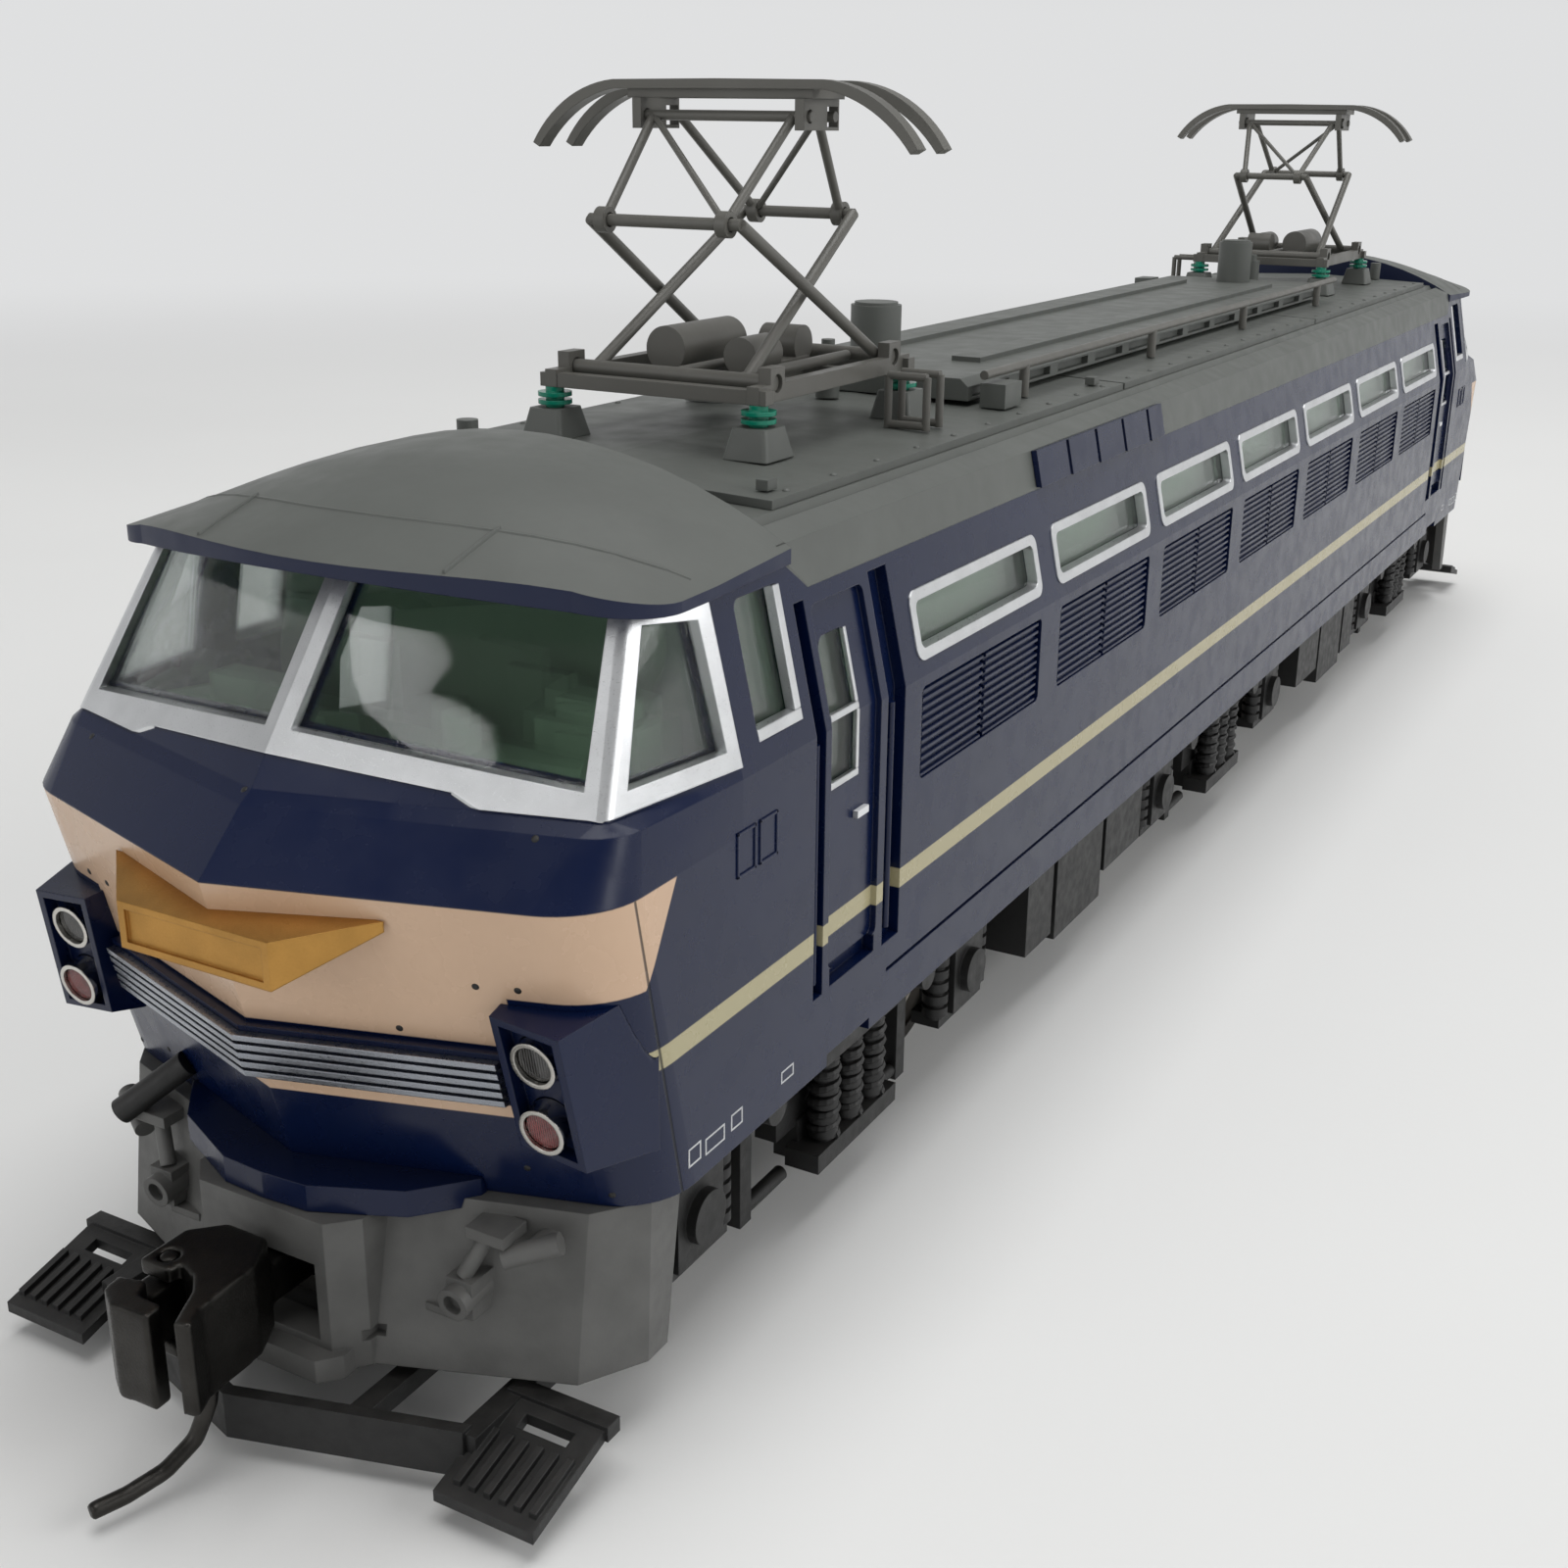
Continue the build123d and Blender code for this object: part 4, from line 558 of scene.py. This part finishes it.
def lay_rib(mesh_data, roof, points, width, height):
    """Low rib along points in plan, laid on the top of a surface."""
    rings = []
    for i, (x, y) in enumerate(points):
        before, after = points[max(0, i - 1)], points[min(len(points) - 1, i + 1)]
        run = Vector((after[0] - before[0], after[1] - before[1])).normalized()
        across = Vector((-run.y, run.x, 0)) * width / 2
        top = roof.ray_cast(Vector((x, y, RAY_START_Z)), Vector((0, 0, -1)))[0]
        if top is None:
            continue
        base = top - Vector((0, 0, RIB_SINK))
        crown = top + Vector((0, 0, height))
        ring = (base + across, crown + across * 0.5, crown - across * 0.5, base - across)
        rings.append([mesh_data.verts.new(corner) for corner in ring])
    for first, second in zip(rings, rings[1:]):
        for k in range(4):
            after = (k + 1) % 4
            mesh_data.faces.new((first[k], first[after], second[after], second[k]))
    mesh_data.faces.new(rings[0][::-1])
    mesh_data.faces.new(rings[-1])


def add_visor_trim():
    """Two short ridges and the crease between visor and dome."""
    roof = surface("cab_roofs")
    mesh_data = bmesh.new()
    front, back = VISOR_RIDGE_Y
    for side in (1, -1):
        ridge = [(VISOR_RIDGE_X * side, front + (back - front) * i / 10) for i in range(11)]
        lay_rib(mesh_data, roof, ridge, width=0.24, height=0.14)
    middle, curve = VISOR_CREASE
    places = [VISOR_CREASE_X * i / 17 for i in range(-17, 18)]
    crease = [(x, middle + curve * x * x) for x in places]
    lay_rib(mesh_data, roof, crease, width=0.3, height=0.05)
    turned_round(mesh_data)
    bmesh.ops.recalc_face_normals(mesh_data, faces=mesh_data.faces)
    add_piece("visor_trim", mesh_data, "roof_grey")


def add_pin_holes():
    """Small locating holes in the nose, as black discs set in the paint: painted shade standing in for the
    dark depth of each hole.
    """
    body = surface("body_shell")
    mesh_data = bmesh.new()
    for x, y, z in PIN_HOLES:
        for side in ((1, -1) if x > 1 else (1,)):
            place, normal, _, _ = body.find_nearest(Vector((x * side, y, z)))
            turn = normal.to_track_quat("Z", "Y").to_matrix().to_4x4()
            for radius, rise in PIN_HOLE_RINGS:
                matrix = Matrix.Translation(place + normal * rise) @ turn
                bmesh.ops.create_cone(
                    mesh_data, cap_ends=True, segments=16, radius1=radius, radius2=radius * 0.7,
                    depth=PIN_HOLE_DEPTH, matrix=matrix,
                )
    turned_round(mesh_data)
    # the black plastic finish here is painted shade for the inside of each hole, not a black part
    add_piece("pin_holes", mesh_data, "black_plastic")


def add_side_marks():
    """Small plain outlined squares low on each cab side."""
    mesh_data = bmesh.new()
    line = MARK_LINE
    for y0, y1, z0, z1 in SIDE_MARKS:
        for bar in (
            (y0, y1, z0, z0 + line), (y0, y1, z1 - line, z1),
            (y0, y0 + line, z0 + line, z1 - line), (y1 - line, y1, z0 + line, z1 - line),
        ):
            wall_bar(mesh_data, *bar, *MARK_DEPTHS)
    mirrored(mesh_data)
    turned_round(mesh_data)
    add_piece("side_marks", mesh_data, "bright_frame")


def add_roof_bolts():
    """Rows of bolts along the edges of the roof hatches."""
    mesh_data = bmesh.new()
    for y0, y1 in HATCH_SPANS:
        count = round((y1 - y0) / BOLT_PITCH)
        for i in range(count):
            y = y0 + (i + 0.5) * (y1 - y0) / count
            for side in (1, -1):
                stud(mesh_data, (BOLT_X * side, y, BOLT_Z), (0.04 * side, 0, 1), BOLT_RADIUS, BOLT_HEIGHT)
    add_piece("roof_bolts", mesh_data, "roof_grey")


def coil(mesh_data, centre, radius, wire, z0, z1, turns):
    """Helical spring standing upright."""
    steps, sides = 14 * turns, 6
    rings = []
    for i in range(steps + 1):
        angle = 2 * math.pi * i * turns / steps
        radial = Vector((math.cos(angle), math.sin(angle), 0))
        z = z0 + (z1 - z0) * i / steps
        middle = Vector((centre[0], centre[1], z)) + radial * radius
        ring = []
        for k in range(sides):
            a = 2 * math.pi * k / sides
            offset = radial * math.cos(a) * wire + Vector((0, 0, math.sin(a) * wire))
            ring.append(mesh_data.verts.new(middle + offset))
        rings.append(ring)
    for first, second in zip(rings, rings[1:]):
        for k in range(sides):
            after = (k + 1) % sides
            mesh_data.faces.new((first[k], first[after], second[after], second[k]))
    mesh_data.faces.new(rings[0][::-1])
    mesh_data.faces.new(rings[-1])


def add_springs():
    """Secondary springs of the bogies, as real coils."""
    for body, centre_y in BOGIE_CENTRES:
        mesh_data = bmesh.new()
        for side in (1, -1):
            for dy in SPRING_OFFSETS:
                place = (SPRING_X * side, centre_y + dy)
                coil(mesh_data, place, SPRING_RADIUS, SPRING_WIRE, *SPRING_Z, SPRING_TURNS)
        add_piece(f"springs_{body}", mesh_data, "black_plastic", body)


add_side_plates()
add_cab_window_frames()
add_visor_trim()
add_pin_holes()
add_side_marks()
add_roof_bolts()
add_springs()


# ================================================================ camera, floor and light
def look(yaw, pitch, roll):
    """Rotation of a camera from its yaw about Z, pitch above the horizon and roll."""
    yaw, pitch, roll = (math.radians(angle) for angle in (yaw, pitch, roll))
    forward = Vector((math.sin(yaw) * math.cos(pitch), math.cos(yaw) * math.cos(pitch), math.sin(pitch)))
    right = forward.cross(Vector((0, 0, 1))).normalized()
    up = right.cross(forward)
    turned_right = math.cos(roll) * right + math.sin(roll) * up
    turned_up = math.cos(roll) * up - math.sin(roll) * right
    return Matrix((turned_right, turned_up, -forward)).transposed().to_4x4()


def add_camera():
    data = bpy.data.cameras.new("camera")
    data.lens = CAMERA_LENS
    data.sensor_width = 36.0
    data.shift_x, data.shift_y = CAMERA_SHIFT
    data.clip_start = 0.005
    camera = bpy.data.objects.new("camera", data)
    bpy.context.scene.collection.objects.link(camera)
    camera.matrix_world = Matrix.Translation(CAMERA_PLACE) @ look(*CAMERA_ANGLES)
    bpy.context.scene.camera = camera


def add_floor():
    """Pale floor that fades into the pale backdrop before its far edge."""
    graph = Graph("floor", 0.7, specular=0.2)
    graph.raise_by(graph.noise(2.0, 3.0), 0.01)
    graph.finish(toned(graph, (0.80, 0.80, 0.79), 0.02, 0.01), edge=0.0)
    far = graph.node("MapRange", interpolation_type="SMOOTHSTEP")
    length = graph.node("VectorMath", operation="LENGTH")
    graph.link(graph.mm, length.inputs[0])
    graph.link(length.outputs["Value"], far.inputs["Value"])
    far.inputs["From Min"].default_value = FLOOR_FADE[0]
    far.inputs["From Max"].default_value = FLOOR_FADE[1]
    glow = graph.node("Emission")
    glow.inputs["Color"].default_value = (*BACKDROP, 1.0)
    blend = graph.node("MixShader")
    graph.link(far.outputs["Result"], blend.inputs["Fac"])
    graph.link(graph.shader.outputs["BSDF"], blend.inputs[1])
    graph.link(glow.outputs["Emission"], blend.inputs[2])
    output = next(node for node in graph.tree.nodes if node.type == "OUTPUT_MATERIAL")
    graph.link(blend.outputs["Shader"], output.inputs["Surface"])
    mesh_data = bmesh.new()
    bmesh.ops.create_grid(mesh_data, x_segments=1, y_segments=1, size=FLOOR_HALF_SIZE)
    mesh = bpy.data.meshes.new("floor")
    mesh_data.to_mesh(mesh)
    mesh_data.free()
    mesh.materials.append(graph.material)
    floor = bpy.data.objects.new("floor", mesh)
    bpy.context.scene.collection.objects.link(floor)


def add_light(name, place, target, size, power, long_axis=(0, 0, 1)):
    """Softbox that isn't seen itself; its second side lies along long_axis."""
    data = bpy.data.lights.new(name, "AREA")
    data.shape = "RECTANGLE"
    data.size, data.size_y = size
    data.energy = power
    light = bpy.data.objects.new(name, data)
    bpy.context.scene.collection.objects.link(light)
    back = (Vector(place) - Vector(target)).normalized()
    across = Vector(long_axis).cross(back).normalized()
    turn = Matrix((across, back.cross(across), back)).transposed().to_4x4()
    light.matrix_world = Matrix.Translation(place) @ turn
    light.visible_camera = False


def mirror_place(point, distance):
    """Where the camera looks to, by way of the windscreen, from a point on the pane."""
    place, normal, _, _ = surface("cab_glazing").find_nearest(Vector(point))
    place = place * MM
    view = (place - bpy.context.scene.camera.matrix_world.translation).normalized()
    return place, place + view.reflect(normal) * distance


def add_window_streak():
    """Narrow light that the right windscreen pane mirrors as a slanting streak."""
    pane, middle = mirror_place(STREAK_MIDDLE, STREAK_DISTANCE)
    _, upper = mirror_place(STREAK_TOP, STREAK_DISTANCE)
    _, lower = mirror_place(STREAK_FOOT, STREAK_DISTANCE)
    add_light("window_streak", middle, pane, STREAK_SIZE, 0.03, lower - upper)


def add_world():
    """Even pale surround, a little darker overhead."""
    world = bpy.data.worlds.new("studio")
    world.use_nodes = True
    nodes, links = world.node_tree.nodes, world.node_tree.links
    split = nodes.new("ShaderNodeSeparateXYZ")
    links.new(nodes.new("ShaderNodeTexCoord").outputs["Generated"], split.inputs[0])
    ramp = nodes.new("ShaderNodeMapRange")
    links.new(split.outputs["Z"], ramp.inputs["Value"])
    ramp.inputs["From Min"].default_value = 0.05
    ramp.inputs["From Max"].default_value = 0.6
    ramp.inputs["To Min"].default_value = 1.0
    ramp.inputs["To Max"].default_value = OVERHEAD_DIM
    background = nodes["Background"]
    background.inputs["Color"].default_value = (*BACKDROP, 1.0)
    links.new(ramp.outputs["Result"], background.inputs["Strength"])
    bpy.context.scene.world = world


add_camera()
add_floor()
add_world()
add_light("overhead", (0.05, 0.05, 0.75), (0, 0, 0.02), (0.5, 0.9), 4.2, (0, 1, 0))
add_light("side", (0.75, 0.10, 0.40), (0, 0, 0.02), (0.4, 0.6), 2.4, (0, 1, 0))
add_light("front_fill", (-0.25, -0.80, 0.35), (0, -0.08, 0.02), (0.5, 0.4), 0.8)
add_window_streak()
bpy.context.scene.view_settings.view_transform = "Standard"
